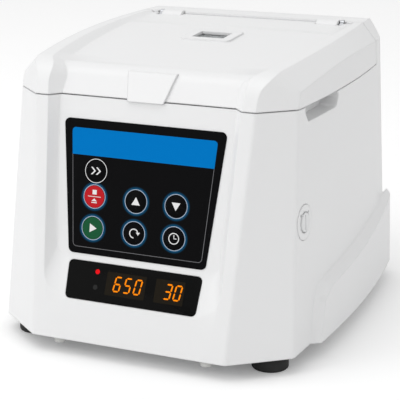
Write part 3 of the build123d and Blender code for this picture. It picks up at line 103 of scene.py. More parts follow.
# %%
# Grain group: a height for the bump and a value that varies the gloss
def grain_group():
    group = bpy.data.node_groups.new("FineGrain", "ShaderNodeTree")
    group.interface.new_socket("Scale", in_out="INPUT", socket_type="NodeSocketFloat")
    group.interface.new_socket("Height", in_out="OUTPUT", socket_type="NodeSocketFloat")
    group.interface.new_socket("Cloud", in_out="OUTPUT", socket_type="NodeSocketFloat")
    nodes, links = group.nodes, group.links
    enter = nodes.new("NodeGroupInput")
    leave = nodes.new("NodeGroupOutput")
    place = nodes.new("ShaderNodeTexCoord")
    fine = nodes.new("ShaderNodeTexNoise")
    fine.inputs["Detail"].default_value = 3.0
    wide = nodes.new("ShaderNodeTexNoise")
    wide.inputs["Scale"].default_value = 18.0
    wide.inputs["Detail"].default_value = 2.0
    links.new(place.outputs["Object"], fine.inputs["Vector"])
    links.new(place.outputs["Object"], wide.inputs["Vector"])
    links.new(enter.outputs["Scale"], fine.inputs["Scale"])
    links.new(fine.outputs["Fac"], leave.inputs["Height"])
    links.new(wide.outputs["Fac"], leave.inputs["Cloud"])
    return group


grain = grain_group()


# %%
# One function makes every solid material from the same few choices
def solid(name, color, roughness, metallic=0.0, bump=0.0, scale=1500.0, coat=0.0, vary=0.05, gloss=0.5):
    mat = bpy.data.materials.new(name)
    mat.use_nodes = True
    nodes, links = mat.node_tree.nodes, mat.node_tree.links
    shade = nodes["Principled BSDF"]
    shade.inputs["Base Color"].default_value = (*color, 1.0)
    shade.inputs["Metallic"].default_value = metallic
    shade.inputs["Roughness"].default_value = roughness
    shade.inputs["Coat Weight"].default_value = coat
    shade.inputs["Coat Roughness"].default_value = 0.1
    shade.inputs["Specular IOR Level"].default_value = gloss
    source = nodes.new("ShaderNodeGroup")
    source.node_tree = grain
    source.inputs["Scale"].default_value = scale
    spread = nodes.new("ShaderNodeMapRange")
    spread.inputs["To Min"].default_value = max(roughness - vary, 0.02)
    spread.inputs["To Max"].default_value = roughness + vary
    links.new(source.outputs["Cloud"], spread.inputs["Value"])
    links.new(spread.outputs["Result"], shade.inputs["Roughness"])
    if bump:
        relief = nodes.new("ShaderNodeBump")
        relief.inputs["Strength"].default_value = bump
        relief.inputs["Distance"].default_value = 0.0002
        links.new(source.outputs["Height"], relief.inputs["Height"])
        links.new(relief.outputs["Normal"], shade.inputs["Normal"])
    return mat


def rounded(mat, radius):
    """Lets the light catch the edges of a moulded or turned piece as if they were rounded."""
    nodes, links = mat.node_tree.nodes, mat.node_tree.links
    edge = nodes.new("ShaderNodeBevel")
    edge.samples = 8
    edge.inputs["Radius"].default_value = radius
    shade = nodes["Principled BSDF"]
    relief = [node for node in nodes if node.type == "BUMP"]
    if relief:
        links.new(edge.outputs["Normal"], relief[0].inputs["Normal"])
    else:
        links.new(edge.outputs["Normal"], shade.inputs["Normal"])
    return mat


def glowing(name, color, strength):
    mat = bpy.data.materials.new(name)
    mat.use_nodes = True
    shade = mat.node_tree.nodes["Principled BSDF"]
    shade.inputs["Base Color"].default_value = (*[0.2 * c for c in color], 1.0)
    shade.inputs["Roughness"].default_value = 0.4
    shade.inputs["Specular IOR Level"].default_value = 0.05
    shade.inputs["Emission Color"].default_value = (*color, 1.0)
    shade.inputs["Emission Strength"].default_value = strength
    return mat


def clear(name, color, roughness=0.03):
    mat = bpy.data.materials.new(name)
    mat.use_nodes = True
    shade = mat.node_tree.nodes["Principled BSDF"]
    shade.inputs["Base Color"].default_value = (*color, 1.0)
    shade.inputs["Roughness"].default_value = roughness
    shade.inputs["Transmission Weight"].default_value = 1.0
    shade.inputs["IOR"].default_value = 1.49
    return mat


# %%
# The materials, one for each finish in the record
mats = {
    "white_shell": rounded(solid("white_shell", (0.84, 0.842, 0.845), 0.36, bump=0.06, scale=2600), 0.0016),
    "liner_white": rounded(solid("liner_white", (0.8, 0.805, 0.81), 0.42, bump=0.03), 0.0006),
    "panel_black": solid("panel_black", (0.0035, 0.0035, 0.004), 0.6, bump=0.02, scale=3000, gloss=0.04),
    "key_black": solid("key_black", (0.0035, 0.0035, 0.004), 0.6, bump=0.02, scale=3000, gloss=0.04),
    "dark_glass": solid("dark_glass", (0.004, 0.004, 0.004), 0.4, gloss=0.05),
    "clear_pane": clear("clear_pane", (0.93, 0.96, 0.97)),
    "lamp_red": glowing("lamp_red", (0.9, 0.01, 0.01), 1.0),
    "lamp_dark": solid("lamp_dark", (0.03, 0.03, 0.03), 0.3),
    "module_black": solid("module_black", (0.03, 0.03, 0.03), 0.5),
    "board_green": solid("board_green", (0.02, 0.16, 0.06), 0.35, coat=0.4),
    "steel_bright": rounded(solid("steel_bright", (0.62, 0.63, 0.64), 0.28, metallic=1.0, vary=0.08), 0.0005),
    "steel_zinc": rounded(solid("steel_zinc", (0.55, 0.56, 0.58), 0.38, metallic=1.0, vary=0.08), 0.0003),
    "screw_steel": solid("screw_steel", (0.5, 0.5, 0.52), 0.35, metallic=1.0),
    "rotor_metal": rounded(solid("rotor_metal", (0.34, 0.36, 0.4), 0.36, metallic=1.0, bump=0.02), 0.0005),
    "sink_metal": solid("sink_metal", (0.4, 0.41, 0.43), 0.4, metallic=1.0),
    "motor_metal": rounded(solid("motor_metal", (0.03, 0.03, 0.035), 0.5, bump=0.08), 0.0006),
    "plate_grey": rounded(solid("plate_grey", (0.3, 0.31, 0.32), 0.55, bump=0.1), 0.0004),
    "rubber_black": rounded(solid("rubber_black", (0.012, 0.012, 0.012), 0.7, bump=0.1), 0.0008),
    "rubber_grey": rounded(solid("rubber_grey", (0.16, 0.165, 0.17), 0.65), 0.0006),
    "bumper_pale": rounded(solid("bumper_pale", (0.6, 0.6, 0.58), 0.6), 0.0008),
    "inlet_black": rounded(solid("inlet_black", (0.015, 0.015, 0.016), 0.42, bump=0.05), 0.0004),
    "blade_brass": solid("blade_brass", (0.7, 0.62, 0.4), 0.25, metallic=1.0),
    "capacitor_dark": solid("capacitor_dark", (0.015, 0.02, 0.05), 0.3),
    "core_iron": solid("core_iron", (0.08, 0.075, 0.07), 0.6, metallic=0.4),
}
print("materials", len(mats))

# %% [markdown]
# ## Smooth copies of the solids
#
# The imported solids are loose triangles. A copy with its doubles merged, smooth faces and
# sharp creases shows the same shape without facets.

# %%
# Copy each solid, merge it and smooth it up to a crease angle
MERGE = 1e-5
SLIVER = 1e-6
CREASE = 28.0
slots = {part["node"]: part["material_slot"] for part in frame["record"]["subparts"]}
copies = {}


def finish_mesh(mesh, crease):
    for face in mesh.polygons:
        face.use_smooth = True
    mesh.set_sharp_from_angle(angle=math.radians(crease))


def smooth_copy(node, crease):
    source = frame["nodes"][node]
    mesh = source.data.copy()
    mesh.name = "looks_" + node
    work = bmesh.new()
    work.from_mesh(mesh)
    bmesh.ops.remove_doubles(work, verts=work.verts, dist=MERGE)
    bmesh.ops.dissolve_degenerate(work, edges=work.edges, dist=SLIVER)
    work.to_mesh(mesh)
    work.free()
    finish_mesh(mesh, crease)
    mesh.materials.clear()
    mesh.materials.append(mats[slots[node]])
    piece = bpy.data.objects.new("looks_" + node, mesh)
    scene.collection.objects.link(piece)
    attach(piece, source["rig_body"])
    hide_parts(node)
    copies[node] = piece
    return piece


CRISP = {"casing": 9.0, "lid_shell": 7.0}
for name in frame["nodes"]:
    smooth_copy(name, CRISP.get(name, CREASE))
print("smooth copies", len(copies))

# %% [markdown]
# ## The keypad's print
#
# The membrane leans back with the front. Its printed shapes are thin plates laid on the same
# plane, each built from a flat outline, so their edges stay sharp at any size. A texture would
# blur close up.

# %%
# Planes of the sunk panel and of the display's ramp
FRONT = -155.0
BOTTOM = 14.0
LEAN = math.atan2(35.4, 208.0 - BOTTOM)
DEPTH = 8.0


class Face:
    """A leaning plane on which flat shapes are drawn in millimetres."""

    def __init__(self, origin, up, out):
        self.origin = Vector(origin)
        self.up = Vector(up)
        self.out = Vector(out)

    def at(self, across, rise, lift):
        return (self.origin + Vector((across, 0, 0)) + self.up * rise + self.out * lift) * MM


lean_up = Vector((0, math.sin(LEAN), math.cos(LEAN)))
lean_out = Vector((0, -math.cos(LEAN), math.sin(LEAN)))
panel = Face(Vector((0, FRONT, BOTTOM)) - lean_out * DEPTH, lean_up, lean_out)


def up_floor(height):
    """Distance up the panel plane to a height above the bench."""
    return (height - BOTTOM + DEPTH * math.sin(LEAN)) / math.cos(LEAN)


FOLD_LOW = (47.0 - BOTTOM) / math.cos(LEAN)
FOLD_HIGH = (80.0 - BOTTOM) / math.cos(LEAN)
ramp_foot = Vector((0, FRONT, BOTTOM)) + lean_up * FOLD_LOW
ramp_head = Vector((0, FRONT, BOTTOM)) + lean_up * FOLD_HIGH - lean_out * DEPTH
ramp_up = (ramp_head - ramp_foot).normalized()
ramp_out = Vector((0, -ramp_up.z, ramp_up.y))
ramp = Face(ramp_foot, ramp_up, ramp_out)
ramp_length = (ramp_head - ramp_foot).length
print("lean", round(math.degrees(LEAN), 2), "ramp", round(ramp_length, 2))


# %%
# Draw flat shapes as thin plates: an outline, with or without a hole of the same count
def plate(name, face, loops, lift, material, body="base", thick=0.05, holes=None):
    mesh = bpy.data.meshes.new(name)
    work = bmesh.new()
    for number, loop in enumerate(loops):
        hole = holes[number] if holes else None
        if hole is None:
            top = [work.verts.new(face.at(x, v, lift + thick)) for x, v in loop]
            base = [work.verts.new(face.at(x, v, lift)) for x, v in loop]
            work.faces.new(top)
            work.faces.new(base[::-1])
            count = len(loop)
            for i in range(count):
                j = (i + 1) % count
                work.faces.new((top[i], base[i], base[j], top[j]))
        else:
            rings = []
            for points, height in ((loop, lift + thick), (hole, lift + thick), (hole, lift), (loop, lift)):
                rings.append([work.verts.new(face.at(x, v, height)) for x, v in points])
            count = len(loop)
            for a in range(4):
                first, second = rings[a], rings[(a + 1) % 4]
                for i in range(count):
                    j = (i + 1) % count
                    work.faces.new((first[i], first[j], second[j], second[i]))
    bmesh.ops.recalc_face_normals(work, faces=work.faces)
    work.to_mesh(mesh)
    work.free()
    mesh.materials.append(material)
    piece = bpy.data.objects.new(name, mesh)
    scene.collection.objects.link(piece)
    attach(piece, body)
    return piece


def circle(x, v, radius, count=64, start=0.0, sweep=2 * math.pi):
    steps = count if abs(sweep) >= 2 * math.pi - 1e-6 else count + 1
    angles = [start + sweep * i / count for i in range(steps)]
    return [(x + radius * math.cos(angle), v + radius * math.sin(angle)) for angle in angles]


def arc_band(x, v, inner, outer, start, sweep, count=24):
    outside = circle(x, v, outer, count, start, sweep)
    inside = circle(x, v, inner, count, start, sweep)
    return outside + inside[::-1]


def rounded_quad(corners, radii, count=8):
    """Four corners, each softened by an arc of its own radius."""
    loop = []
    for i, corner in enumerate(corners):
        here = Vector(corner)
        before = (Vector(corners[i - 1]) - here).normalized()
        after = (Vector(corners[(i + 1) % 4]) - here).normalized()
        half = before.angle(after) / 2
        reach = radii[i] / math.tan(half)
        middle = here + (before + after).normalized() * (radii[i] / math.sin(half))
        a = here + before * reach - middle
        b = here + after * reach - middle
        turn = math.atan2(a.x * b.y - a.y * b.x, a.dot(b))
        for k in range(count + 1):
            angle = turn * k / count
            loop.append((middle.x + a.x * math.cos(angle) - a.y * math.sin(angle),
                         middle.y + a.x * math.sin(angle) + a.y * math.cos(angle)))
    return loop


# %%
# Print materials
print_blue = solid("print_blue", (0.0, 0.18, 0.54), 0.6, gloss=0.02)
print_white = solid("print_white", (0.8, 0.8, 0.8), 0.4)
print_grey = solid("print_grey", (0.16, 0.16, 0.17), 0.4)
print_pale = solid("print_pale", (0.42, 0.5, 0.62), 0.4)
print_red = solid("print_red", (0.5, 0.006, 0.012), 0.45, gloss=0.15)
print_green = solid("print_green", (0.003, 0.085, 0.03), 0.45, gloss=0.15)
window_brown = solid("window_brown", (0.014, 0.011, 0.007), 0.4, gloss=0.04)
digit_amber = glowing("digit_amber", (1.0, 0.26, 0.0), 0.95)


def halo_material():
    """Blue light that fades outwards over the ring, along its own UV map."""
    mat = solid("key_halo", (0.0035, 0.0035, 0.004), 0.6, gloss=0.04)
    nodes, links = mat.node_tree.nodes, mat.node_tree.links
    place = nodes.new("ShaderNodeUVMap")
    place.uv_map = "across"
    split = nodes.new("ShaderNodeSeparateXYZ")
    fade = nodes.new("ShaderNodeMapRange")
    fade.interpolation_type = "SMOOTHSTEP"
    fade.inputs["From Min"].default_value = 1.0
    fade.inputs["From Max"].default_value = 0.0
    tint = nodes.new("ShaderNodeMix")
    tint.data_type = "RGBA"
    tint.inputs["A"].default_value = (0.0, 0.0, 0.0, 1.0)
    tint.inputs["B"].default_value = (0.0, 0.07, 0.16, 1.0)
    links.new(place.outputs["UV"], split.inputs["Vector"])
    links.new(split.outputs["X"], fade.inputs["Value"])
    links.new(fade.outputs["Result"], tint.inputs["Factor"])
    links.new(tint.outputs["Result"], nodes["Principled BSDF"].inputs["Emission Color"])
    nodes["Principled BSDF"].inputs["Emission Strength"].default_value = 1.0
    return mat


halo_blue = halo_material()

# %%
# Header, inner border line and the keys' halos on the membrane
TOP = 0.5
head_low, head_high = up_floor(161.8), up_floor(183.2)
border_low, border_high = up_floor(88.0), up_floor(183.2)


LINE = 0.4
PRINT_HALF_LOW = 57.0
PRINT_HALF_HIGH = 63.6


def panel_half(rise, margin):
    """Half width of the membrane's print at a distance up the panel."""
    share = (rise - border_low) / (border_high - border_low)
    return PRINT_HALF_LOW + (PRINT_HALF_HIGH - PRINT_HALF_LOW) * share - margin


def panel_quad(rise_low, rise_high, round_low, round_high, margin=0.0):
    """A print outline between two heights, with its lower and upper corners rounded."""
    near = panel_half(rise_low, margin)
    far = panel_half(rise_high, margin)
    corners = [(-near, rise_low + margin), (near, rise_low + margin), (far, rise_high - margin),
               (-far, rise_high - margin)]
    radii = [round_low - margin, round_low - margin, round_high - margin, round_high - margin]
    return rounded_quad(corners, radii)


SQUARE = 0.01
ROUND_HIGH = 3.0
ROUND_LOW = 3.5
header = panel_quad(head_low, head_high, SQUARE, ROUND_HIGH)
outer = panel_quad(border_low, border_high, ROUND_LOW, ROUND_HIGH)
inner = panel_quad(border_low, border_high, ROUND_LOW, ROUND_HIGH, LINE)
plate("panel_header", panel, [header], TOP, print_blue)
plate("panel_border", panel, [outer], TOP, print_grey, thick=0.03, holes=[inner])

# Middle of each key: across the panel, and its height above the bench
LEFT_KEYS, MIDDLE_KEYS, RIGHT_KEYS = -40.0, -3.0, 32.0
FIRST_ROW, SECOND_ROW, THIRD_ROW = 150.0, 129.5, 104.2
KEYS = {
    "key_lid": (LEFT_KEYS, FIRST_ROW),
    "key_stop": (LEFT_KEYS, SECOND_ROW),
    "key_up": (MIDDLE_KEYS, SECOND_ROW),
    "key_down": (RIGHT_KEYS, SECOND_ROW),
    "key_start": (LEFT_KEYS, THIRD_ROW),
    "key_short": (MIDDLE_KEYS, THIRD_ROW),
    "key_time": (RIGHT_KEYS, THIRD_ROW),
}
KEY_RADIUS = 9.1
RING_INNER = KEY_RADIUS + 0.25
RING_OUTER = KEY_RADIUS + 0.75
HALO_OUTER = RING_OUTER + 2.6


def halo(name, x, v):
    mesh = bpy.data.meshes.new(name)
    work = bmesh.new()
    uv = work.loops.layers.uv.new("across")
    count = 64
    inside = [work.verts.new(panel.at(px, pv, TOP + 0.01)) for px, pv in circle(x, v, RING_OUTER, count)]
    outside = [work.verts.new(panel.at(px, pv, TOP + 0.01)) for px, pv in circle(x, v, HALO_OUTER, count)]
    for i in range(count):
        j = (i + 1) % count
        face = work.faces.new((outside[i], outside[j], inside[j], inside[i]))
        for loop, value in zip(face.loops, (1.0, 1.0, 0.0, 0.0)):
            loop[uv].uv = (value, 0.5)
    bmesh.ops.recalc_face_normals(work, faces=work.faces)
    work.to_mesh(mesh)
    work.free()
    mesh.materials.append(halo_blue)
    piece = bpy.data.objects.new(name, mesh)
    scene.collection.objects.link(piece)
    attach(piece, "base")


for name, (x, z) in KEYS.items():
    if name != "key_lid":
        halo("halo_" + name, x, up_floor(z))
print("halos", len(KEYS) - 1)

# %% [markdown]
# ## Marks on the keys
#
# Each key carries a ring and a plain sign: a triangle up or down, a bar for stop, an arrow for
# start. The signs ride on the keys, so they sink with them when pressed.

# %%
# Signs of the keys
KEY_TOP = 0.7
SIGN_SCALE = 1.25


def ring(name, x, v, inner, outer, material, body, lift=KEY_TOP, thick=0.05):
    plate(name, panel, [circle(x, v, outer)], lift, material, body, thick, [circle(x, v, inner)])


def sign(name, loops, x, v, body, material=None, lift=KEY_TOP + 0.06):
    moved = [[(x + px * SIGN_SCALE, v + pv * SIGN_SCALE) for px, pv in loop] for loop in loops]
    plate(name, panel, moved, lift, material or print_white, body, 0.04)


signs = {
    "key_lid": [[(-3.6, -2.4), (-2.4, -2.4), (0.0, 0.0), (-2.4, 2.4), (-3.6, 2.4), (-1.2, 0.0)],
                [(0.0, -2.4), (1.2, -2.4), (3.6, 0.0), (1.2, 2.4), (0.0, 2.4), (2.4, 0.0)]],
    "key_stop": [[(-4.6, -0.2), (4.6, -0.2), (4.6, 0.2), (-4.6, 0.2)],
                 [(-1.5, 1.4), (1.5, 1.4), (1.5, 4.4), (-1.5, 4.4)],
                 [(-2.0, -3.0), (2.0, -3.0), (0.0, -1.2)],
                 [(-2.0, -4.2), (2.0, -4.2), (2.0, -3.6), (-2.0, -3.6)]],
    "key_up": [[(-3.0, -2.3), (3.0, -2.3), (0.0, 2.9)]],
    "key_down": [[(-3.0, 2.3), (0.0, -2.9), (3.0, 2.3)]],
    "key_start": [[(-2.0, -2.9), (3.0, 0.0), (-2.0, 2.9)]],
    "key_short": [arc_band(0, 0, 2.5, 3.2, math.radians(20), math.radians(250)),
                  [(1.5, 0.9), (4.4, 0.9), (2.95, -1.1)]],
    "key_time": [arc_band(0, 0, 3.1, 3.7, 0.0, math.radians(359.9), 48),
                 [(-0.25, -0.25), (0.25, -0.25), (0.25, 2.4), (-0.25, 2.4)],
                 [(-0.25, -0.25), (1.9, -0.25), (1.9, 0.25), (-0.25, 0.25)]],
}
for name, (x, z) in KEYS.items():
    v = up_floor(z)
    body = name + "_cap"
    if name == "key_stop":
        plate("disc_" + name, panel, [circle(x, v, KEY_RADIUS - 0.1)], KEY_TOP, print_red, body)
    if name == "key_start":
        plate("disc_" + name, panel, [circle(x, v, KEY_RADIUS - 0.1)], KEY_TOP, print_green, body)
    ring("ring_" + name, x, v, RING_INNER, RING_OUTER,
         print_white if name == "key_lid" else print_pale, "base", TOP + 0.01)
    sign("sign_" + name, signs[name], x, v, body)
print("keys marked", len(KEYS))

# %% [markdown]
# ## The display
#
# Two smoked windows with lit figures built from seven bars each. Bars are cheap to draw as
# outlines and read well at any distance.

# %%
# Display windows and lit figures
GLASS = 0.4
WINDOW_LOW, WINDOW_HIGH = 8.0, 27.0
WINDOW_ROUND = 0.8
windows = {"speed": (-23.0, 11.8), "time": (20.4, 45.4)}
for name, (left, right) in windows.items():
    corners = [(left, WINDOW_LOW), (right, WINDOW_LOW), (right, WINDOW_HIGH), (left, WINDOW_HIGH)]
    quad = rounded_quad(corners, [WINDOW_ROUND] * len(corners))
    plate("window_" + name, ramp, [quad], GLASS, window_brown, thick=0.04)

FIGURE_SLANT = 0.14
BARS = {
    "0": "abcdef", "1": "bc", "2": "abged", "3": "abgcd", "4": "fgbc",
    "5": "afgcd", "6": "afgecd", "7": "abc", "8": "abcdefg", "9": "abcfgd",
}


def figure_loops(character, x, v, width, height, bar):
    half = height / 2
    gap = 0.12 * bar
    flat = [(0, 0), (bar / 2, bar / 2), (width - bar / 2, bar / 2), (width, 0), (width - bar / 2, -bar / 2),
            (bar / 2, -bar / 2)]
    upright = [(0, 0), (bar / 2, bar / 2), (bar / 2, half - bar / 2), (0, half), (-bar / 2, half - bar / 2),
               (-bar / 2, bar / 2)]
    shapes = {
        "a": [(px, pv + height) for px, pv in flat], "g": [(px, pv + half) for px, pv in flat], "d": flat,
        "f": [(px, pv + half) for px, pv in upright], "e": upright,
        "b": [(px + width, pv + half) for px, pv in upright], "c": [(px + width, pv) for px, pv in upright],
    }
    loops = []
    for key in BARS[character]:
        shape = shapes[key]
        cx = sum(p[0] for p in shape) / len(shape)
        cv = sum(p[1] for p in shape) / len(shape)
        shrink = 1 - gap / max(width, half) * 4
        small = [(cx + (px - cx) * shrink, cv + (pv - cv) * shrink) for px, pv in shape]
        loops.append([(x + px + FIGURE_SLANT * pv, v + pv) for px, pv in small])
    return loops


def figures(name, text, x, v, pitch, width, height, bar):
    loops = []
    for i, character in enumerate(text):
        loops += figure_loops(character, x + i * pitch, v, width, height, bar)
    plate(name, ramp, loops, GLASS + 0.05, digit_amber, thick=0.04)


FIGURE_FOOT = 11.9
FIGURE_WIDE, FIGURE_TALL, FIGURE_BAR = 5.0, 11.6, 1.35
figures("figures_speed", "650", -16.0, FIGURE_FOOT, 9.0, FIGURE_WIDE, FIGURE_TALL, FIGURE_BAR)
figures("figures_time", "30", 28.4, FIGURE_FOOT, 8.4, FIGURE_WIDE, FIGURE_TALL, FIGURE_BAR)
lamp_lit = glowing("lamp_lit", (0.9, 0.005, 0.01), 0.75)
lamp_off = solid("lamp_off", (0.02, 0.02, 0.02), 0.4, gloss=0.1)
SPOT_ACROSS, SPOT_RADIUS, SPOT_SIDES, SPOT_THICK = -32.0, 2.0, 32, 0.06
RED_RISE, DARK_RISE = 25.6, 12.9
red_spot = circle(SPOT_ACROSS, RED_RISE, SPOT_RADIUS, SPOT_SIDES)
dark_spot = circle(SPOT_ACROSS, DARK_RISE, SPOT_RADIUS, SPOT_SIDES)
plate("lamp_spot_red", ramp, [red_spot], GLASS, lamp_lit, thick=SPOT_THICK)
plate("lamp_spot_dark", ramp, [dark_spot], GLASS, lamp_off, thick=SPOT_THICK)
print("figures", "650", "30")

# %% [markdown]
# ## What repeats, grown by Geometry Nodes
#
# Thin dark hexagons of painted shade on the screw heads, the ribs round the rotor's nut and the
# marks round the rotor's rim are one shape many times over. A node tree holds the shape and the rule
# once, and its named inputs set count and size. A loop of mesh calls could do it too, but a tree can be tuned
# live.

# %%
# A small kit for node trees: named inputs, an instance rule, then plain geometry out
def new_tree(name, sizes):
    tree = bpy.data.node_groups.new(name, "GeometryNodeTree")
    tree.interface.new_socket("Geometry", in_out="INPUT", socket_type="NodeSocketGeometry")
    for label in sizes:
        tree.interface.new_socket(label, in_out="INPUT", socket_type="NodeSocketFloat")
    tree.interface.new_socket("Geometry", in_out="OUTPUT", socket_type="NodeSocketGeometry")
    return tree, tree.nodes.new("NodeGroupInput"), tree.nodes.new("NodeGroupOutput")


def close_tree(tree, grown, leave, material):
    """Ends a tree as real faces with one material."""
    real = tree.nodes.new("GeometryNodeRealizeInstances")
    paint = tree.nodes.new("GeometryNodeSetMaterial")
    paint.inputs["Material"].default_value = material
    tree.links.new(grown, real.inputs["Geometry"])
    tree.links.new(real.outputs["Geometry"], paint.inputs["Geometry"])
    tree.links.new(paint.outputs["Geometry"], leave.inputs["Geometry"])


def socket_shade_tree(material):
    """A flat dark hexagon on every point, painted shade for a screw's socket, turned to look along the
    point's own direction.
    """
    tree, enter, leave = new_tree("SocketShadeDiscs", ["Radius", "Depth"])
    bar = tree.nodes.new("GeometryNodeMeshCylinder")
    bar.inputs["Vertices"].default_value = 6
    place = tree.nodes.new("GeometryNodeInstanceOnPoints")
    aim = tree.nodes.new("FunctionNodeAlignEulerToVector")
    aim.axis = "Z"
    facing = tree.nodes.new("GeometryNodeInputNamedAttribute")
    facing.data_type = "FLOAT_VECTOR"
    facing.inputs["Name"].default_value = "facing"
    tree.links.new(enter.outputs["Radius"], bar.inputs["Radius"])
    tree.links.new(enter.outputs["Depth"], bar.inputs["Depth"])
    tree.links.new(facing.outputs["Attribute"], aim.inputs["Vector"])
    tree.links.new(aim.outputs["Rotation"], place.inputs["Rotation"])
    tree.links.new(enter.outputs["Geometry"], place.inputs["Points"])
    tree.links.new(bar.outputs["Mesh"], place.inputs["Instance"])
    close_tree(tree, place.outputs["Instances"], leave, material)
    return tree


def crown_tree(material):
    """A ring of upright bars, each turned to face the middle."""
    tree, enter, leave = new_tree("BarCrown", ["Count", "Ring", "Wide", "Deep", "Tall"])
    ring_line = tree.nodes.new("GeometryNodeMeshCircle")
    bar = tree.nodes.new("GeometryNodeMeshCube")
    size = tree.nodes.new("ShaderNodeCombineXYZ")
    place = tree.nodes.new("GeometryNodeInstanceOnPoints")
    aim = tree.nodes.new("FunctionNodeAlignEulerToVector")
    aim.axis = "X"
    where = tree.nodes.new("GeometryNodeInputPosition")
    put = tree.nodes.new("GeometryNodeInstanceOnPoints")
    tree.links.new(enter.outputs["Count"], ring_line.inputs["Vertices"])
    tree.links.new(enter.outputs["Ring"], ring_line.inputs["Radius"])
    tree.links.new(enter.outputs["Deep"], size.inputs["X"])
    tree.links.new(enter.outputs["Wide"], size.inputs["Y"])
    tree.links.new(enter.outputs["Tall"], size.inputs["Z"])
    tree.links.new(size.outputs["Vector"], bar.inputs["Size"])
    tree.links.new(where.outputs["Position"], aim.inputs["Vector"])
    tree.links.new(aim.outputs["Rotation"], place.inputs["Rotation"])
    tree.links.new(ring_line.outputs["Mesh"], place.inputs["Points"])
    tree.links.new(bar.outputs["Mesh"], place.inputs["Instance"])
    tree.links.new(enter.outputs["Geometry"], put.inputs["Points"])
    tree.links.new(place.outputs["Instances"], put.inputs["Instance"])
    close_tree(tree, put.outputs["Instances"], leave, material)
    return tree


def grow(name, tree, points, sizes, body, directions=None):
    """Runs a tree on a few points, keeps the result as a plain mesh and seats it on a body."""
    mesh = bpy.data.meshes.new(name + "_points")
    mesh.from_pydata([tuple(point) for point in points], [], [])
    if directions:
        facing = mesh.attributes.new("facing", "FLOAT_VECTOR", "POINT")
        for item, direction in zip(facing.data, directions):
            item.vector = direction
    seed = bpy.data.objects.new(name + "_points", mesh)
    scene.collection.objects.link(seed)
    modifier = seed.modifiers.new("grow", "NODES")
    modifier.node_group = tree
    for item in tree.interface.items_tree:
        if item.in_out == "INPUT" and item.name in sizes:
            modifier[item.identifier] = sizes[item.name]
    graph = bpy.context.evaluated_depsgraph_get()
    grown = bpy.data.meshes.new_from_object(seed.evaluated_get(graph), depsgraph=graph)
    grown.name = name
    piece = bpy.data.objects.new(name, grown)
    scene.collection.objects.link(piece)
    bpy.data.objects.remove(seed)
    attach(piece, body)
    print(name, "faces", len(grown.polygons))
    return piece


# %%
# The separate solids of a node, as boxes, give the places of its screws
def islands(node):
    work = bmesh.new()
    work.from_mesh(frame["nodes"][node].data)
    bmesh.ops.remove_doubles(work, verts=work.verts, dist=MERGE)
    left = set(work.verts)
    boxes = []
    while left:
        stack = [left.pop()]
        group = list(stack)
        while stack:
            for edge in stack.pop().link_edges:
                for other in edge.verts:
                    if other in left:
                        left.discard(other)
                        stack.append(other)
                        group.append(other)
        boxes.append((Vector([min(v.co[k] for v in group) for k in range(3)]),
                      Vector([max(v.co[k] for v in group) for k in range(3)])))
    work.free()
    return sorted(boxes, key=lambda box: tuple(box[0]))


SOCKET_SHARE = 0.52
SOCKET_SHADE_THICK = 0.0001
# Near-black hexagon sheets 0.1 mm thick on each screw head: painted shade standing in for the dark of the
# socket's recess.
painted_socket_shade = solid("painted_socket_shade", (0.02, 0.02, 0.02), 0.5)
socket_shade_discs = socket_shade_tree(painted_socket_shade)
SCREWS = {
    "rear_screws": (0, 1, 0),
    "base_screws": (0, 0, -1),
    "bowl_screws": (0, 0, 1),
    "lid_screws": (0, 0, -1),
}
for node, facing in SCREWS.items():
    direction = Vector(facing)
    side = 0 if facing[0] == 0 else 1
    points = []
    for box_low, box_high in islands(node):
        middle = (box_low + box_high) / 2
        reach = Vector([abs(d) for d in direction]).dot(box_high - box_low) / 2
        points.append(middle + direction * reach)
    radius = (box_high[side] - box_low[side]) / 2
    grow("socket_shade_" + node, socket_shade_discs, points, {"Radius": radius * SOCKET_SHARE, "Depth": SOCKET_SHADE_THICK},
         frame["nodes"][node]["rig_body"], [direction] * len(points))

# %%
# Ribs round the nut and marks round the rotor's rim
NUT_RIBS = 36.0
RIB_WIDE = 0.0007
RIB_DEEP = 0.0006
RIB_SHARE = 0.3
nut_low, nut_high = (Vector(corner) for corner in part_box("rotor_nut"))
nut_middle = (nut_low + nut_high) / 2
nut_radius = (nut_high.x - nut_low.x) / 2
grow("nut_ribs", crown_tree(mats[slots["rotor_nut"]]), [nut_middle],
     {"Count": NUT_RIBS, "Ring": nut_radius, "Wide": RIB_WIDE, "Deep": RIB_DEEP,
      "Tall": (nut_high.z - nut_low.z) * RIB_SHARE}, "nut")

BORES = 12.0
MARK_WIDE = 0.0009
MARK_THICK = 0.0001
MARK_SHARE = 0.6
rotor_mesh = frame["nodes"]["rotor"].data
rotor_top = max(vertex.co.z for vertex in rotor_mesh.vertices)
rim_reach = [math.hypot(vertex.co.x - nut_middle.x, vertex.co.y - nut_middle.y)
             for vertex in rotor_mesh.vertices if vertex.co.z > rotor_top - MERGE]
rim_middle = (min(rim_reach) + max(rim_reach)) / 2
rim_width = max(rim_reach) - min(rim_reach)
grow("rotor_marks", crown_tree(print_white), [Vector((nut_middle.x, nut_middle.y, rotor_top))],
     {"Count": BORES, "Ring": rim_middle, "Wide": MARK_WIDE, "Deep": rim_width * MARK_SHARE,
      "Tall": MARK_THICK}, "rotor")
print("rim", round(rotor_top, 4), round(rim_middle, 4), round(rim_width, 4))

# %% [markdown]
# ## Light and floor
#
# The photograph is lit softly from all round, a little stronger from above and the left, on a
# white sweep. One large lamp above, one at the left and a bright world give the same.

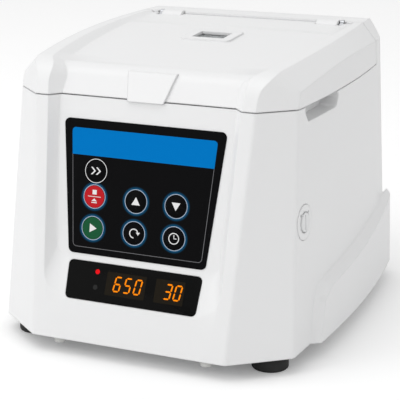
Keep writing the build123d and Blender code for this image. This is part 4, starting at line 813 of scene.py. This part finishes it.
# %%
# Floor, world and lamps
floor_mesh = bpy.data.meshes.new("floor")
FLOOR_HALF = 12
FLOOR_LIFT = 0.14         # brightens the floor for the camera alone, so its shadows stay
floor_corners = [(-FLOOR_HALF, -FLOOR_HALF, 0), (FLOOR_HALF, -FLOOR_HALF, 0),
                 (FLOOR_HALF, FLOOR_HALF, 0), (-FLOOR_HALF, FLOOR_HALF, 0)]
floor_mesh.from_pydata(floor_corners, [], [(0, 1, 2, 3)])
floor = bpy.data.objects.new("floor", floor_mesh)
scene.collection.objects.link(floor)
floor_mat = solid("floor_white", (0.93, 0.93, 0.93), 0.9, vary=0.01)
floor_mat.node_tree.nodes["Principled BSDF"].inputs["Specular IOR Level"].default_value = 0.1
floor_glow = floor_mat.node_tree.nodes.new("ShaderNodeLightPath")
floor_lift = floor_mat.node_tree.nodes.new("ShaderNodeMath")
floor_lift.operation = "MULTIPLY"
floor_lift.inputs[1].default_value = FLOOR_LIFT
floor_mat.node_tree.links.new(floor_glow.outputs["Is Camera Ray"], floor_lift.inputs[0])
floor_shade = floor_mat.node_tree.nodes["Principled BSDF"]
floor_shade.inputs["Emission Color"].default_value = (1.0, 1.0, 1.0, 1.0)
floor_mat.node_tree.links.new(floor_lift.outputs["Value"], floor_shade.inputs["Emission Strength"])
floor_mesh.materials.append(floor_mat)

SKY_STRENGTH = 0.77
world = bpy.data.worlds.new("studio")
scene.world = world
world.use_nodes = True
nodes, links = world.node_tree.nodes, world.node_tree.links
sky = nodes["Background"]
sky.inputs["Color"].default_value = (1.0, 1.0, 1.0, 1.0)
sky.inputs["Strength"].default_value = SKY_STRENGTH
seen = nodes.new("ShaderNodeBackground")
seen.inputs["Color"].default_value = (1.0, 1.0, 1.0, 1.0)
seen.inputs["Strength"].default_value = 1.0
path = nodes.new("ShaderNodeLightPath")
mix = nodes.new("ShaderNodeMixShader")
links.new(path.outputs["Is Camera Ray"], mix.inputs["Fac"])
links.new(sky.outputs["Background"], mix.inputs[1])
links.new(seen.outputs["Background"], mix.inputs[2])
links.new(mix.outputs["Shader"], nodes["World Output"].inputs["Surface"])


def lamp(name, place, target, width, power):
    data = bpy.data.lights.new(name, "AREA")
    data.shape = "SQUARE"
    data.size = width
    data.energy = power
    obj = bpy.data.objects.new(name, data)
    scene.collection.objects.link(obj)
    obj.location = place
    aim = Vector(target) - Vector(place)
    obj.rotation_euler = aim.to_track_quat("-Z", "Y").to_euler()


lamp("top_lamp", (-0.6, -0.6, 2.2), (0, 0, 0.1), 1.6, 12.0)
lamp("left_lamp", (-1.6, -1.6, 1.1), (0, 0, 0.12), 1.2, 7.0)
scene.view_settings.view_transform = "Standard"
print("lamps placed")
